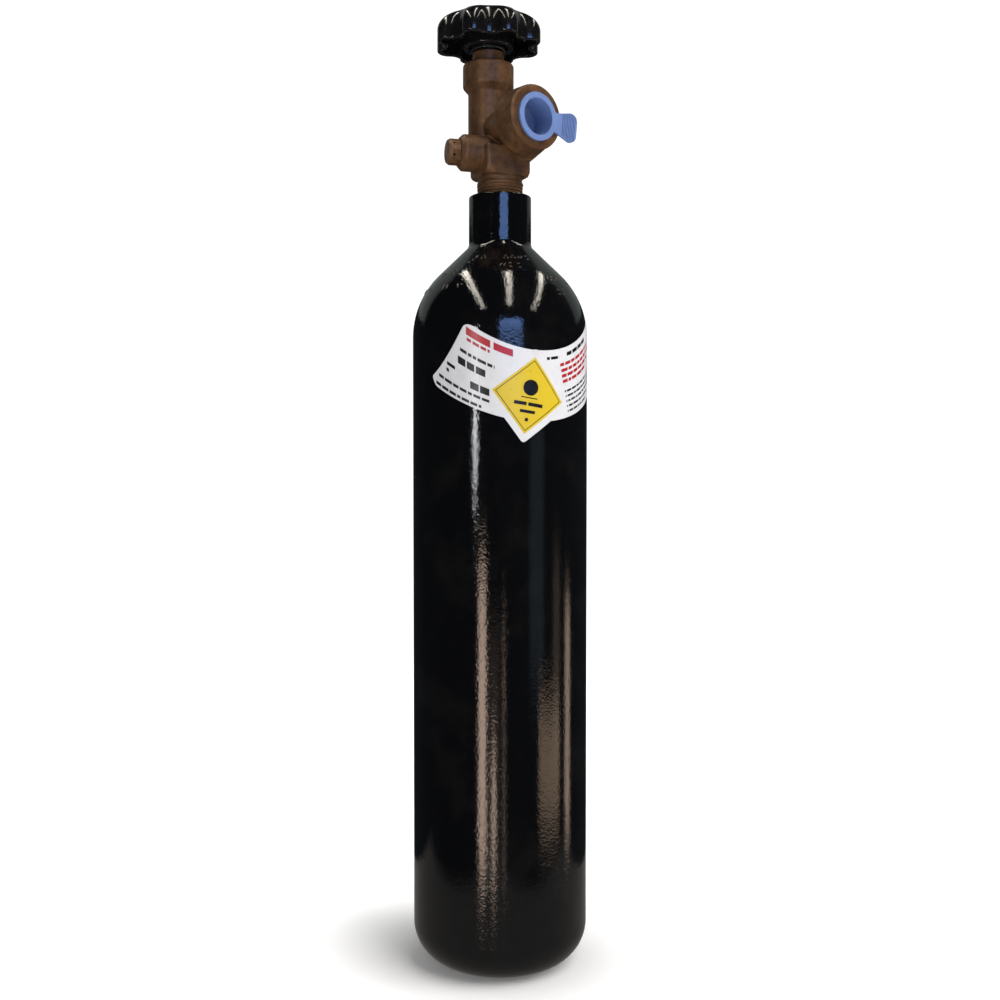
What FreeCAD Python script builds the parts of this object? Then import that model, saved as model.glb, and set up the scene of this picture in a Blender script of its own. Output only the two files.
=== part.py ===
"""Portable oxygen cylinder with a side-outlet valve, as a parametric FreeCAD document.

Frame: millimetres, +Z up along the cylinder, origin at the centre of the base.
The outlet points along -Y. The spindle stands behind the neck, on +Y.
"""
import FreeCAD, Part
import math
import os

import Sketcher

DOC = FreeCAD.newDocument("oxygen_cylinder")

SIZES = {
    # How far a cutting tool runs past a face, and a fused piece into its neighbour
    "over": 1.0,
    "bite": 0.5,
    # Cylinder
    "body_r": 51.0,
    "wall": 3.0,
    "base_edge_r": 24.0,
    "floor_in_r": 20.0,
    "dish_depth": 6.0,
    "dish_r": 22.0,
    "floor_thick": 8.0,
    "knee_z": 387.8,
    "knee_r": 50.5,
    "cone_foot_z": 419.5,
    "neck_r": 18.2,
    "neck_top": 448.7,
    "neck_chamfer": 1.0,
    "neck_fillet": 5.0,
    "inner_knee_z": 383.7,
    "inner_knee_r": 44.0,
    "neck_bottom": 418.6,
    # Taper thread of the valve stem, 3 in 25 on diameter
    "stem_bottom": 424.0,
    "stem_bottom_r": 11.75,
    "stem_top": 456.4,
    "stem_top_r": 13.7,
    "waist_r": 13.0,
    "taper": 0.06,
    "thread_pitch": 1.814,
    "thread_depth": 1.1,
    "thread_mouth_half": 0.94,
    "thread_mouth_over": 0.33,
    "thread_start": 449.3,
    "thread_turns_z": 6.4,
    "tape_thick": 0.12,
    "tape_low": 425.0,
    "tape_top": 447.0,
    # Valve body
    "block_side": 27.4,
    "block_bottom": 459.4,
    "block_top": 476.0,
    "block_round": 2.0,
    "block_foot_r": 16.5,
    "block_cone_z": 461.8,
    "block_cone_r": 18.6,
    "spindle_y": 11.1,
    "barrel_r": 11.9,
    "barrel_bottom": 465.5,
    "barrel_nose_r": 9.0,
    "barrel_nose_z": 468.5,
    "barrel_top": 511.0,
    "collar_r": 15.0,
    "collar_low": 514.6,
    "collar_edge_z": 527.0,
    "collar_edge_r": 14.0,
    "collar_top": 528.0,
    "outlet_z": 488.3,
    "head_r": 18.3,
    "head_back": 17.6,
    "head_face": 33.2,
    "head_edge": 1.2,
    "arm_back_r": 8.0,
    "arm_front_r": 15.0,
    "arm_start": 8.0,
    "web_side": 2.0,
    "web_thick": 10.0,
    "web_start": 14.0,
    "web_low_z": 468.6,
    "web_high_z": 475.0,
    "relief_z": 473.0,
    "relief_r": 10.5,
    "relief_face": 25.3,
    "relief_edge": 2.4,
    # Passages
    "inlet_bore_r": 3.5,
    "inlet_bore_top": 475.0,
    "chamber_floor": 480.0,
    "seat_in_r": 2.4,
    "seat_out_r": 3.4,
    "seat_top": 481.0,
    "chamber_r": 8.0,
    "gasket_ledge": 515.0,
    "gland_thread_r": 11.0,
    "thread_bore_r": 11.45,
    "thread_bore_end": 13.4,
    "outlet_cone_end": 10.6,
    "outlet_way_r": 3.5,
    "relief_way_r": 2.3,
    "relief_ledge": 15.0,
    "relief_bore_r": 6.0,
    "passage_r": 2.0,
    "passage_low": 460.4,
    # Gland nut and seals
    "gasket_thick": 1.0,
    "gasket_in_r": 8.4,
    "gland_r": 9.2,
    "gland_top": 535.0,
    "gland_chamfer": 0.6,
    "stem_hole_r": 4.55,
    "gland_well_r": 7.3,
    "gland_well_top": 520.4,
    "washer_low": 519.25,
    "washer_in_r": 4.7,
    "washer_r": 6.9,
    "washer_thick": 1.1,
    "pin_hole_r": 0.9,
    "pin_hole_ring_r": 7.0,
    "pin_hole_depth": 3.0,
    # Upper spindle
    "spindle_r": 4.5,
    "flange_r": 7.1,
    "flange_low": 516.2,
    "flange_high": 519.2,
    "tang_low": 499.0,
    "tang_thick": 4.0,
    "tang_width": 10.0,
    "groove_r": 2.9,
    "groove_low": 524.0,
    "groove_high": 527.2,
    "ring_section_r": 0.8,
    "ring_z": 525.0,
    "backup_low": 526.1,
    "backup_thick": 1.0,
    "square_low": 541.0,
    "square_side": 6.3,
    "square_top": 548.6,
    "stud_r": 3.0,
    "stud_top": 554.8,
    # Lower spindle and seat
    "lower_r": 7.95,
    "lower_top": 510.0,
    "lower_skirt": 486.0,
    "nose_r": 5.6,
    "nose_low": 481.7,
    "slot_floor": 494.0,
    "slot_width": 4.1,
    "seat_disc_r": 4.6,
    "seat_disc_low": 481.05,
    "seat_disc_top": 484.2,
    # Handwheel
    "wheel_low": 538.0,
    "wheel_top": 556.8,
    "wheel_wall": 2.7,
    "wheel_core_r": 26.0,
    "lobe_r": 6.5,
    "lobe_ring_r": 25.5,
    "crease_r": 6.0,
    "wheel_rim_r": 32.2,
    "wheel_rim_z": 543.8,
    "wheel_brow_r": 26.0,
    "wheel_brow_z": 553.2,
    "wheel_crown_r": 14.0,
    "rim_round": 12.0,
    "brow_round": 12.0,
    "crown_round": 24.0,
    "hub_low": 537.0,
    "hub_r": 14.8,
    "hub_in_r": 11.4,
    "hub_groove_top": 545.0,
    "boss_low": 535.7,
    "boss_r": 10.1,
    "boss_hole_r": 4.6,
    "square_hole": 6.36,
    "well_r": 9.0,
    "well_floor": 548.7,
    "hub_lip_r": 0.6,
    "hub_washer_thick": 1.2,
    "hub_washer_r": 6.5,
    "hub_washer_in_r": 3.1,
    "nut_across": 10.0,
    "nut_thick": 4.2,
    # Burst disc parts, measured out along the relief axis
    "disc_gasket_r": 5.8,
    "disc_gasket_in_r": 2.6,
    "disc_gasket_thick": 0.8,
    "disc_r": 5.6,
    "disc_thick": 0.25,
    "disc_ring_thick": 0.9,
    "disc_ring_in_r": 3.0,
    "cap_shank_r": 5.95,
    "cap_end": 32.0,
    "cap_across": 13.8,
    "cap_round_r": 7.5,
    "cap_edge_r": 6.6,
    "cap_edge": 1.4,
    "cap_foot_edge": 0.5,
    "cap_head_start": 25.3,
    "cap_flats_end": 30.6,
    "cap_bore_r": 2.2,
    "cap_bore_end": 30.2,
    "vent_r": 0.8,
    "vent_at": 29.2,
    # Outlet plug, measured out along the outlet axis
    "plug_gap": 0.06,
    "plug_flange_r": 13.4,
    "plug_flange_thick": 1.5,
    "plug_skirt_r": 11.4,
    "plug_hole_r": 10.3,
    "plug_floor_r": 9.9,
    "plug_floor": 19.4,
    "plug_end": 17.8,
    "plug_lead": 0.6,
    "tab_root": 11.8,
    "tab_reach": 29.0,
    "tab_root_half": 5.6,
    "tab_neck": 14.2,
    "tab_wide_at": 23.5,
    "tab_half": 8.3,
    "tab_corner_r": 4.6,
    "rib_first": 18.0,
    "rib_pitch": 1.15,
    "rib_width": 0.55,
    "rib_height": 0.45,
    "rib_sink": 0.2,
    # Label, wrapped on the wall and the foot of the shoulder
    "label_thick": 0.08,
    "label_foot": 300.0,
    "label_reach": 408.0,
    "band_out": 60.0,
    "band_high_z": 403.9,
    "band_high_drop": 57.1,
    "band_low_z": 349.2,
    "band_low_drop": 38.8,
    "ends_low_half": 65.2,
    "ends_high_half": 29.6,
    "diamond_half": 26.5,
    "diamond_z": 330.4,
}

BLOCK_TURN = -15.0      # the block's main face looks this many degrees from -Y, about +Z
RELIEF_TURN = -111.0    # the relief axis, the same way
TAB_DROP = 6.0          # the tab hangs this many degrees below +X
LABEL_TURN = -5.5       # the middle of the label, between its two ends
BAND_TURN = -12.5       # where the label's upper edge is lowest
FOOT_TURN = -15.3       # where its lower edge is lowest
BAND_STOP = 0.2417      # share of band_out at which the label stops on either side
DIAMOND_TURN = -19.8    # the middle of the diamond on it
DIAMOND_TILT = -8.7     # the diamond leans with the label
WHEEL_TURN = 9.5        # sets one hollow between lobes
CAP_TURN = -24.0        # turns the relief cap's flats about its own axis
LOBES = 8
RIBS = 9
HEX = 6
PIN_HOLES = 4
NEAR = 0.1              # how closely a picked edge must match its radius


class Size:
    """A length that knows its number and the expression that gives it from the sheet."""

    def __init__(self, value, text):
        self.value = value
        self.text = text

    def __add__(self, other):
        other = as_size(other)
        return Size(self.value + other.value, f"({self.text} + {other.text})")

    def __sub__(self, other):
        other = as_size(other)
        return Size(self.value - other.value, f"({self.text} - {other.text})")

    def __mul__(self, factor):
        return Size(self.value * factor, f"({self.text} * {factor:.9f})")

    def __neg__(self):
        return self * -1.0


def as_size(length):
    return length if isinstance(length, Size) else Size(float(length), f"{length:.6f} mm")


def fill_sheet():
    """Put every driving size into the spreadsheet, one row each."""
    sheet = DOC.addObject("Spreadsheet::Sheet", "sizes")
    for row, (alias, number) in enumerate(SIZES.items(), start=1):
        sheet.set(f"A{row}", alias)
        sheet.set(f"B{row}", str(number))
        sheet.setAlias(f"B{row}", alias)
    DOC.recompute()


class Sizes:
    """Sizes by name: S.body_r and so on."""

    def __getattr__(self, alias):
        return Size(SIZES[alias], f"sizes.{alias} * 1 mm")


S = Sizes()
ZERO = Size(0.0, "0 mm")


# ---------------------------------------------------------------- helpers

def plane_of(body, role):
    return next(feature for feature in body.Origin.OriginFeatures if feature.Role == role)


def new_body(name):
    body = DOC.addObject("PartDesign::Body", name)
    body.Label = name
    return body


def spun(degrees):
    """Rotation about Z."""
    return FreeCAD.Rotation(FreeCAD.Vector(0, 0, 1), degrees)


def turned_to(azimuth):
    """Rotation that lays +Z level at this azimuth from -Y, with +Y up."""
    heading = math.radians(azimuth)
    out = FreeCAD.Vector(math.sin(heading), -math.cos(heading), 0)
    side = FreeCAD.Vector(math.cos(heading), math.sin(heading), 0)
    up = FreeCAD.Vector(0, 0, 1)
    return FreeCAD.Rotation(side, up, out, "ZXY")


def place(obj, x=ZERO, y=ZERO, z=ZERO, rotation=None):
    """Set an object's Placement, with its base bound to the sheet."""
    base = FreeCAD.Vector(x.value, y.value, z.value)
    obj.Placement = FreeCAD.Placement(base, rotation or FreeCAD.Rotation())
    for axis, length in (("x", x), ("y", y), ("z", z)):
        if length is not ZERO:
            obj.setExpression(f"Placement.Base.{axis}", length.text)
    return obj


def pin_point(sketch, geometry, point, x, y):
    """Hold a sketch point at x, y from the origin, each bound to the sheet."""
    origin = (-1, 1)
    for kind, axis, length in (("DistanceX", -2, x), ("DistanceY", -1, y)):
        if abs(length.value) < 1e-9:
            sketch.addConstraint(Sketcher.Constraint("PointOnObject", geometry, point, axis))
            continue
        number = sketch.addConstraint(
            Sketcher.Constraint(kind, *origin, geometry, point, length.value))
        sketch.setExpression(f"Constraints[{number}]", length.text)


def outline_sketch(body, name, role, points, offset=None):
    """A closed outline of straight lines through points whose coordinates are Sizes."""
    sketch = body.newObject("Sketcher::SketchObject", name)
    sketch.AttachmentSupport = [(plane_of(body, role), "")]
    sketch.MapMode = "FlatFace"
    if offset is not None:
        sketch.setExpression("AttachmentOffset.Base.z", offset.text)
    corners = [FreeCAD.Vector(x.value, y.value, 0) for x, y in points]
    count = len(corners)
    for i in range(count):
        sketch.addGeometry(Part.LineSegment(corners[i], corners[(i + 1) % count]), False)
    for i in range(count):
        sketch.addConstraint(Sketcher.Constraint("Coincident", i, 2, (i + 1) % count, 1))
    for i, (x, y) in enumerate(points):
        pin_point(sketch, i, 1, x, y)
    return sketch


def turn(body, name, points, kind="Revolution"):
    """Turn an outline of (radius, height) points about the body's Z, adding or cutting."""
    sketch = outline_sketch(body, name + "_outline", "XZ_Plane", points)
    feature = body.newObject(f"PartDesign::{kind}", name)
    feature.Profile = sketch
    feature.ReferenceAxis = (sketch, ["V_Axis"])
    feature.Angle = 360
    return feature


def turned_body(name, points):
    body = new_body(name)
    turn(body, name + "_turn", points)
    return body


def ring_points(inner, outer, low, high):
    return [(inner, low), (outer, low), (outer, high), (inner, high)]


def pad(body, name, points, low, height, kind="Pad"):
    """Pad or pocket an outline upward from a height."""
    sketch = outline_sketch(body, name + "_outline", "XY_Plane", points, low)
    feature = body.newObject(f"PartDesign::{kind}", name)
    feature.Profile = sketch
    feature.setExpression("Length", height.text)
    feature.Reversed = kind == "Pocket"
    return feature


def rectangle(half_x, half_y):
    return [(-half_x, -half_y), (half_x, -half_y), (half_x, half_y), (-half_x, half_y)]


def hexagon(across):
    """Corners of a hexagon with two flats square to Y."""
    half = across * 0.5
    corner = across * (1.0 / math.sqrt(3.0))
    near = corner * 0.5
    return [(corner, ZERO), (near, half), (-near, half),
            (-corner, ZERO), (-near, -half), (near, -half)]


def round_tool(body, kind, name, radius, height, x=ZERO, y=ZERO, z=ZERO, rotation=None):
    """An additive or subtractive cylinder inside a body."""
    tool = body.newObject(f"PartDesign::{kind}Cylinder", name)
    tool.setExpression("Radius", radius.text)
    tool.setExpression("Height", height.text)
    tool.MapMode = "Deactivated"
    return place(tool, x, y, z, rotation)


def around(body, name, feature, count):
    """Repeat a feature about the body's Z."""
    pattern = body.newObject("PartDesign::PolarPattern", name)
    pattern.Originals = [feature]
    pattern.Axis = (plane_of(body, "Z_Axis"), [""])
    pattern.Angle = 360
    pattern.Occurrences = count
    body.Tip = pattern
    return pattern


def dress(body, kind, name, wanted, length, prop):
    """Fillet or chamfer the edges of the body's tip that wanted() picks."""
    DOC.recompute()
    base = body.Tip
    names = [f"Edge{i}" for i, edge in enumerate(base.Shape.Edges, start=1) if wanted(edge)]
    if not names:
        raise ValueError(f"{name}: no edge matches")
    feature = body.newObject(f"PartDesign::{kind}", name)
    feature.Base = (base, names)
    feature.setExpression(prop, length.text)
    body.Tip = feature
    return feature


def fillet(body, name, wanted, radius):
    return dress(body, "Fillet", name, wanted, radius, "Radius")


def chamfer(body, name, wanted, size):
    return dress(body, "Chamfer", name, wanted, size, "Size")


def circle_at(radius, height):
    """Picks the full circles of this radius at this height."""
    def wanted(edge):
        curve = edge.Curve
        return (curve.TypeId == "Part::GeomCircle" and abs(curve.Radius - radius.value) < 0.01
                and abs(curve.Center.z - height.value) < 0.01)
    return wanted


def solid(kind, name, placed=None, **lengths):
    """A Part primitive with its sizes bound to the sheet."""
    obj = DOC.addObject(f"Part::{kind}", name)
    for prop, length in lengths.items():
        obj.setExpression(prop, length.text)
    if placed:
        place(obj, **placed)
    return obj


def fuse(name, shapes):
    obj = DOC.addObject("Part::MultiFuse", name)
    obj.Shapes = shapes
    return obj


def common(name, shapes):
    obj = DOC.addObject("Part::MultiCommon", name)
    obj.Shapes = shapes
    return obj


def cut(name, base, tool):
    obj = DOC.addObject("Part::Cut", name)
    obj.Base = base
    obj.Tool = tool
    return obj


# ---------------------------------------------------------------- cylinder

def make_shell():
    """Seamless steel body: dished base, straight wall, round shoulder and neck."""
    floor = S.dish_depth + S.floor_thick
    inner_r = S.body_r - S.wall
    neck_bore_r = bore_radius(S.neck_top)
    neck_foot_r = bore_radius(S.neck_bottom)
    body = turned_body("cylinder_shell", [
        (ZERO, ZERO), (S.body_r, ZERO), (S.body_r, S.knee_z), (S.neck_r, S.cone_foot_z),
        (S.neck_r, S.neck_top), (neck_bore_r, S.neck_top), (neck_foot_r, S.neck_bottom),
        (inner_r, S.inner_knee_z), (inner_r, floor), (ZERO, floor)])
    fillet(body, "base_edge", circle_at(S.body_r, ZERO), S.base_edge_r)
    fillet(body, "shoulder", circle_at(S.body_r, S.knee_z), S.knee_r)
    fillet(body, "neck_root", circle_at(S.neck_r, S.cone_foot_z), S.neck_fillet)
    fillet(body, "inner_floor", circle_at(inner_r, floor), S.floor_in_r)
    fillet(body, "inner_shoulder", circle_at(inner_r, S.inner_knee_z), S.inner_knee_r)
    chamfer(body, "neck_edge", circle_at(S.neck_r, S.neck_top), S.neck_chamfer)
    dish = body.newObject("PartDesign::SubtractiveSphere", "base_dish")
    dish.MapMode = "Deactivated"
    sphere_r = (SIZES["dish_r"] ** 2 + SIZES["dish_depth"] ** 2) / (2 * SIZES["dish_depth"])
    dish.setExpression("Radius", "(sizes.dish_r^2 + sizes.dish_depth^2) / (2 * sizes.dish_depth) * 1 mm")
    place(dish, z=Size(SIZES["dish_depth"] - sphere_r,
                       "(sizes.dish_depth - (sizes.dish_r^2 + sizes.dish_depth^2)"
                       " / (2 * sizes.dish_depth)) * 1 mm"))
    body.Tip = dish
    return body


def stem_radius(height):
    """Crest radius of the taper thread at a height."""
    return S.stem_top_r - (S.stem_top - height) * SIZES["taper"]


def bore_radius(height):
    """Wall of the neck's bore, outside the thread tape."""
    return stem_radius(height) + S.tape_thick


def make_tape():
    """Tape on the hidden length of the taper thread."""
    return turned_body("thread_tape", [
        (stem_radius(S.tape_low), S.tape_low), (bore_radius(S.tape_low), S.tape_low),
        (bore_radius(S.tape_top), S.tape_top), (stem_radius(S.tape_top), S.tape_top)])


def slab(name, corners, across, turn_z):
    """A prism from (out, height) corners, reaching evenly to both sides, turned about Z."""
    body = new_body(name)
    sketch = outline_sketch(body, name + "_outline", "XZ_Plane", corners)
    feature = body.newObject("PartDesign::Pad", name + "_pad")
    feature.Profile = sketch
    feature.setExpression("Length", across.text)
    feature.Midplane = True
    return place(body, rotation=spun(turn_z - 90.0))


def make_label():
    """Thin skin on the wall and the foot of the shoulder: a curved band and a diamond."""
    lean = (SIZES["body_r"] - SIZES["neck_r"]) / (SIZES["cone_foot_z"] - SIZES["knee_z"])
    rise = SIZES["label_reach"] - SIZES["knee_z"]
    cone_r = SIZES["body_r"] - lean * rise
    step = SIZES["label_thick"] * math.hypot(1.0, lean)
    outer = S.body_r + S.label_thick
    outer_knee = S.knee_z + (step - SIZES["label_thick"]) / lean
    blanks = []
    for name, radius, knee, top_r, knee_r in (
            ("label_outside", outer, outer_knee, cone_r + step, S.knee_r + S.label_thick),
            ("label_inside", S.body_r, S.knee_z, cone_r, S.knee_r)):
        blank = turned_body(name, [
            (ZERO, S.label_foot), (radius, S.label_foot), (radius, knee),
            (as_size(top_r), S.label_reach), (ZERO, S.label_reach)])
        fillet(blank, name + "_shoulder", circle_at(radius, knee), knee_r)
        blanks.append(blank)
    skin = cut("label_skin", *blanks)
    below = slab("label_below", [
        (S.band_out * BAND_STOP, S.label_foot), (S.band_out, S.label_foot),
        (S.band_out, S.band_high_z - S.band_high_drop),
        (S.band_out * BAND_STOP, S.band_high_z - S.band_high_drop * BAND_STOP)],
        S.band_out * 2.0, BAND_TURN)
    above = slab("label_above", [
        (ZERO, S.band_low_z), (S.band_out, S.band_low_z - S.band_low_drop),
        (S.band_out, S.label_reach), (ZERO, S.label_reach)],
        S.band_out * 2.0, FOOT_TURN)
    ends = slab("label_ends", [
        (-S.ends_low_half, S.label_foot), (S.ends_low_half, S.label_foot),
        (S.ends_high_half, S.label_reach), (-S.ends_high_half, S.label_reach)],
        S.band_out * 2.0, LABEL_TURN + 90.0)
    field = common("label_field", [below, above, ends])
    half = S.diamond_half
    diamond = new_body("label_diamond")
    pad(diamond, "diamond_pad", [(-half, ZERO), (ZERO, -half), (half, ZERO), (ZERO, half)],
        ZERO, S.band_out)
    place(diamond, z=S.diamond_z,
          rotation=turned_to(DIAMOND_TURN) * spun(DIAMOND_TILT))
    return common("shoulder_label", [skin, fuse("label_plan", [field, diamond])])


# ---------------------------------------------------------------- valve body

def make_thread_tool():
    """V-shaped groove swept along the exposed turns of the taper thread."""
    start_r = stem_radius(S.thread_start)
    helix = DOC.addObject("Part::Helix", "thread_path")
    helix.setExpression("Pitch", S.thread_pitch.text)
    helix.setExpression("Height", S.thread_turns_z.text)
    helix.setExpression("Radius", start_r.text)
    helix.Angle = math.degrees(math.atan(SIZES["taper"]))
    place(helix, z=S.thread_start)
    profile = DOC.addObject("Part::Feature", "thread_profile")
    mouth_r = start_r.value + SIZES["thread_mouth_over"]
    root_r = start_r.value - SIZES["thread_depth"]
    centre = SIZES["thread_start"]
    corners = [FreeCAD.Vector(mouth_r, 0, centre - SIZES["thread_mouth_half"]),
               FreeCAD.Vector(mouth_r, 0, centre + SIZES["thread_mouth_half"]),
               FreeCAD.Vector(root_r, 0, centre)]
    profile.Shape = Part.makePolygon(corners + corners[:1])
    sweep = DOC.addObject("Part::Sweep", "thread_groove")
    sweep.Sections = [profile]
    sweep.Spine = (helix, [])
    sweep.Solid = True
    sweep.Frenet = True
    return sweep


def make_block():
    """Square wrench block, its lower corners turned off to a cone."""
    half = S.block_side * 0.5
    body = new_body("block")
    pad(body, "block_pad", rectangle(half, half), S.block_bottom, S.block_top - S.block_bottom)
    place(body, rotation=spun(BLOCK_TURN))
    fillet(body, "block_corners", upright_edges(SIZES["barrel_r"], SIZES["body_r"]), S.block_round)
    past = S.block_cone_r + S.over
    blank = turned_body("block_blank", [
        (ZERO, S.block_bottom), (S.block_foot_r, S.block_bottom), (S.block_cone_r, S.block_cone_z),
        (past, S.block_cone_z + S.over), (past, S.block_top), (ZERO, S.block_top)])
    return common("wrench_block", [body, blank])


def make_forging():
    """The outside of the valve body, all solid."""
    stem = solid("Cone", "stem", {"z": S.stem_bottom}, Radius1=S.stem_bottom_r,
                 Radius2=S.stem_top_r, Height=S.stem_top - S.stem_bottom)
    threaded = cut("threaded_stem", stem, make_thread_tool())
    waist = solid("Cylinder", "waist", {"z": S.stem_top - S.bite}, Radius=S.waist_r,
                  Height=S.block_bottom - S.stem_top + S.bite + S.over)
    barrel = turned_body("barrel", [
        (ZERO, S.barrel_bottom), (S.barrel_nose_r, S.barrel_bottom), (S.barrel_r, S.barrel_nose_z),
        (S.barrel_r, S.barrel_top), (S.collar_r, S.collar_low), (S.collar_r, S.collar_edge_z),
        (S.collar_edge_r, S.collar_top), (ZERO, S.collar_top)])
    place(barrel, y=S.spindle_y)
    head = turned_body("head", [
        (ZERO, S.head_back), (S.head_r, S.head_back), (S.head_r, S.head_face),
        (ZERO, S.head_face)])
    fillet(head, "head_front_edge", circle_at(S.head_r, S.head_face), S.head_edge)
    fillet(head, "head_back_edge", circle_at(S.head_r, S.head_back), S.head_edge)
    place(head, z=S.outlet_z, rotation=turned_to(0))
    arm = turned_body("arm", [
        (ZERO, -S.arm_start), (S.arm_back_r, -S.arm_start), (S.arm_front_r, S.head_back + S.bite),
        (ZERO, S.head_back + S.bite)])
    place(arm, z=S.outlet_z, rotation=turned_to(0))
    web = new_body("web")
    sketch = outline_sketch(web, "web_outline", "YZ_Plane", [
        (-S.web_start, S.web_low_z), (-S.head_face + S.head_edge, S.web_high_z),
        (-S.head_face + S.head_edge, S.outlet_z), (ZERO, S.outlet_z), (ZERO, S.web_low_z)],
        S.web_side)
    feature = web.newObject("PartDesign::Pad", "web_pad")
    feature.Profile = sketch
    feature.setExpression("Length", S.web_thick.text)
    relief = turned_body("relief_boss", [
        (ZERO, ZERO), (S.relief_r, ZERO), (S.relief_r, S.relief_face - S.relief_edge),
        (S.relief_r - S.relief_edge, S.relief_face), (ZERO, S.relief_face)])
    place(relief, z=S.relief_z, rotation=turned_to(RELIEF_TURN))
    return fuse("forging", [make_block(), threaded, waist, barrel, head, arm, web, relief])


def make_passages():
    """Everything drilled, bored or tapped in the valve body, as one cutting tool."""
    inlet = solid("Cylinder", "inlet_bore", {"z": S.stem_bottom - S.over}, Radius=S.inlet_bore_r,
                  Height=S.inlet_bore_top - S.stem_bottom + S.over)
    chamber = turned_body("spindle_bore", [
        (ZERO, S.chamber_floor - S.over), (S.seat_in_r, S.chamber_floor - S.over),
        (S.seat_in_r, S.seat_top), (S.seat_out_r, S.seat_top), (S.seat_out_r, S.chamber_floor),
        (S.chamber_r, S.chamber_floor), (S.chamber_r, S.gasket_ledge),
        (S.gland_thread_r, S.gasket_ledge), (S.gland_thread_r, S.collar_top + S.over),
        (ZERO, S.collar_top + S.over)])
    place(chamber, y=S.spindle_y)
    outlet = turned_body("outlet_bore", [
        (ZERO, -S.arm_start), (S.outlet_way_r, -S.arm_start), (S.outlet_way_r, S.outlet_cone_end),
        (S.thread_bore_r, S.thread_bore_end), (S.thread_bore_r, S.head_face + S.over),
        (ZERO, S.head_face + S.over)])
    place(outlet, z=S.outlet_z, rotation=turned_to(0))
    relief = turned_body("relief_bore", [
        (ZERO, ZERO), (S.relief_way_r, ZERO), (S.relief_way_r, S.relief_ledge),
        (S.relief_bore_r, S.relief_ledge), (S.relief_bore_r, S.relief_face + S.over),
        (ZERO, S.relief_face + S.over)])
    place(relief, z=S.relief_z, rotation=turned_to(RELIEF_TURN))
    low = FreeCAD.Vector(0, 0, SIZES["passage_low"])
    high = FreeCAD.Vector(0, SIZES["spindle_y"], SIZES["chamber_floor"])
    upright = FreeCAD.Vector(0, 0, 1)
    passage = solid("Cylinder", "seat_passage", Radius=S.passage_r)
    passage.Height = (high - low).Length
    passage.Placement = FreeCAD.Placement(low, FreeCAD.Rotation(upright, high - low))
    return fuse("passages", [inlet, chamber, outlet, relief, passage])


def make_valve_body():
    return cut("valve_body", make_forging(), make_passages())


# ---------------------------------------------------------------- spindle and gland

def make_gland():
    """Gland nut with its well for the spindle's flange and four pin-spanner holes."""
    low = S.gasket_ledge + S.gasket_thick
    body = turned_body("gland_nut", [
        (S.stem_hole_r, S.gland_well_top), (S.gland_well_r, S.gland_well_top),
        (S.gland_well_r, low), (S.gland_thread_r, low), (S.gland_thread_r, S.collar_top),
        (S.gland_r, S.collar_top), (S.gland_r, S.gland_top - S.gland_chamfer),
        (S.gland_r - S.gland_chamfer, S.gland_top), (S.stem_hole_r, S.gland_top)])
    hole = round_tool(body, "Subtractive", "pin_hole", S.pin_hole_r, S.pin_hole_depth,
                      x=S.pin_hole_ring_r, z=S.gland_top - S.pin_hole_depth)
    around(body, "pin_holes", hole, PIN_HOLES)
    return place(body, y=S.spindle_y)


def make_upper_spindle():
    """Flanged spindle: tang below, seal groove, square and thread above."""
    body = turned_body("upper_spindle", [
        (ZERO, S.flange_low), (S.flange_r, S.flange_low), (S.flange_r, S.flange_high),
        (S.spindle_r, S.flange_high), (S.spindle_r, S.groove_low), (S.groove_r, S.groove_low),
        (S.groove_r, S.groove_high), (S.spindle_r, S.groove_high), (S.spindle_r, S.square_low),
        (S.stud_r, S.square_low), (S.stud_r, S.stud_top), (ZERO, S.stud_top)])
    pad(body, "tang", rectangle(S.tang_thick * 0.5, S.tang_width * 0.5), S.tang_low,
        S.flange_low - S.tang_low)
    half = S.square_side * 0.5
    pad(body, "square", rectangle(half, half), S.square_low, S.square_top - S.square_low)
    return place(body, y=S.spindle_y, rotation=spun(WHEEL_TURN))


def make_lower_spindle():
    """Threaded plug with a slot for the tang and a pocket for the seat disc."""
    body = turned_body("lower_spindle", [
        (ZERO, S.seat_disc_top), (S.seat_disc_r, S.seat_disc_top), (S.seat_disc_r, S.nose_low),
        (S.nose_r, S.nose_low), (S.nose_r, S.lower_skirt), (S.lower_r, S.lower_skirt),
        (S.lower_r, S.lower_top), (ZERO, S.lower_top)])
    reach = S.lower_r + S.over
    pad(body, "slot", rectangle(S.slot_width * 0.5, reach), S.slot_floor,
        S.lower_top - S.slot_floor, "Pocket")
    return place(body, y=S.spindle_y, rotation=spun(WHEEL_TURN))


def spindle_ring(name, inner, outer, low, high):
    return place(turned_body(name, ring_points(inner, outer, low, high)), y=S.spindle_y)


def make_o_ring():
    ring = solid("Torus", "stem_o_ring", {"y": S.spindle_y, "z": S.ring_z},
                 Radius1=S.groove_r + S.ring_section_r, Radius2=S.ring_section_r)
    ring.Label = "stem_o_ring"
    return ring


# ---------------------------------------------------------------- handwheel

def upright_edges(reach_low, reach_high):
    """Picks the vertical edges whose distance from the axis is in a range."""
    def wanted(edge):
        if len(edge.Vertexes) != 2 or edge.Curve.TypeId != "Part::GeomLine":
            return False
        first, last = (vertex.Point for vertex in edge.Vertexes)
        level = math.hypot(first.x - last.x, first.y - last.y) < 0.01
        return level and reach_low < math.hypot(first.x, first.y) < reach_high
    return wanted


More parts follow.
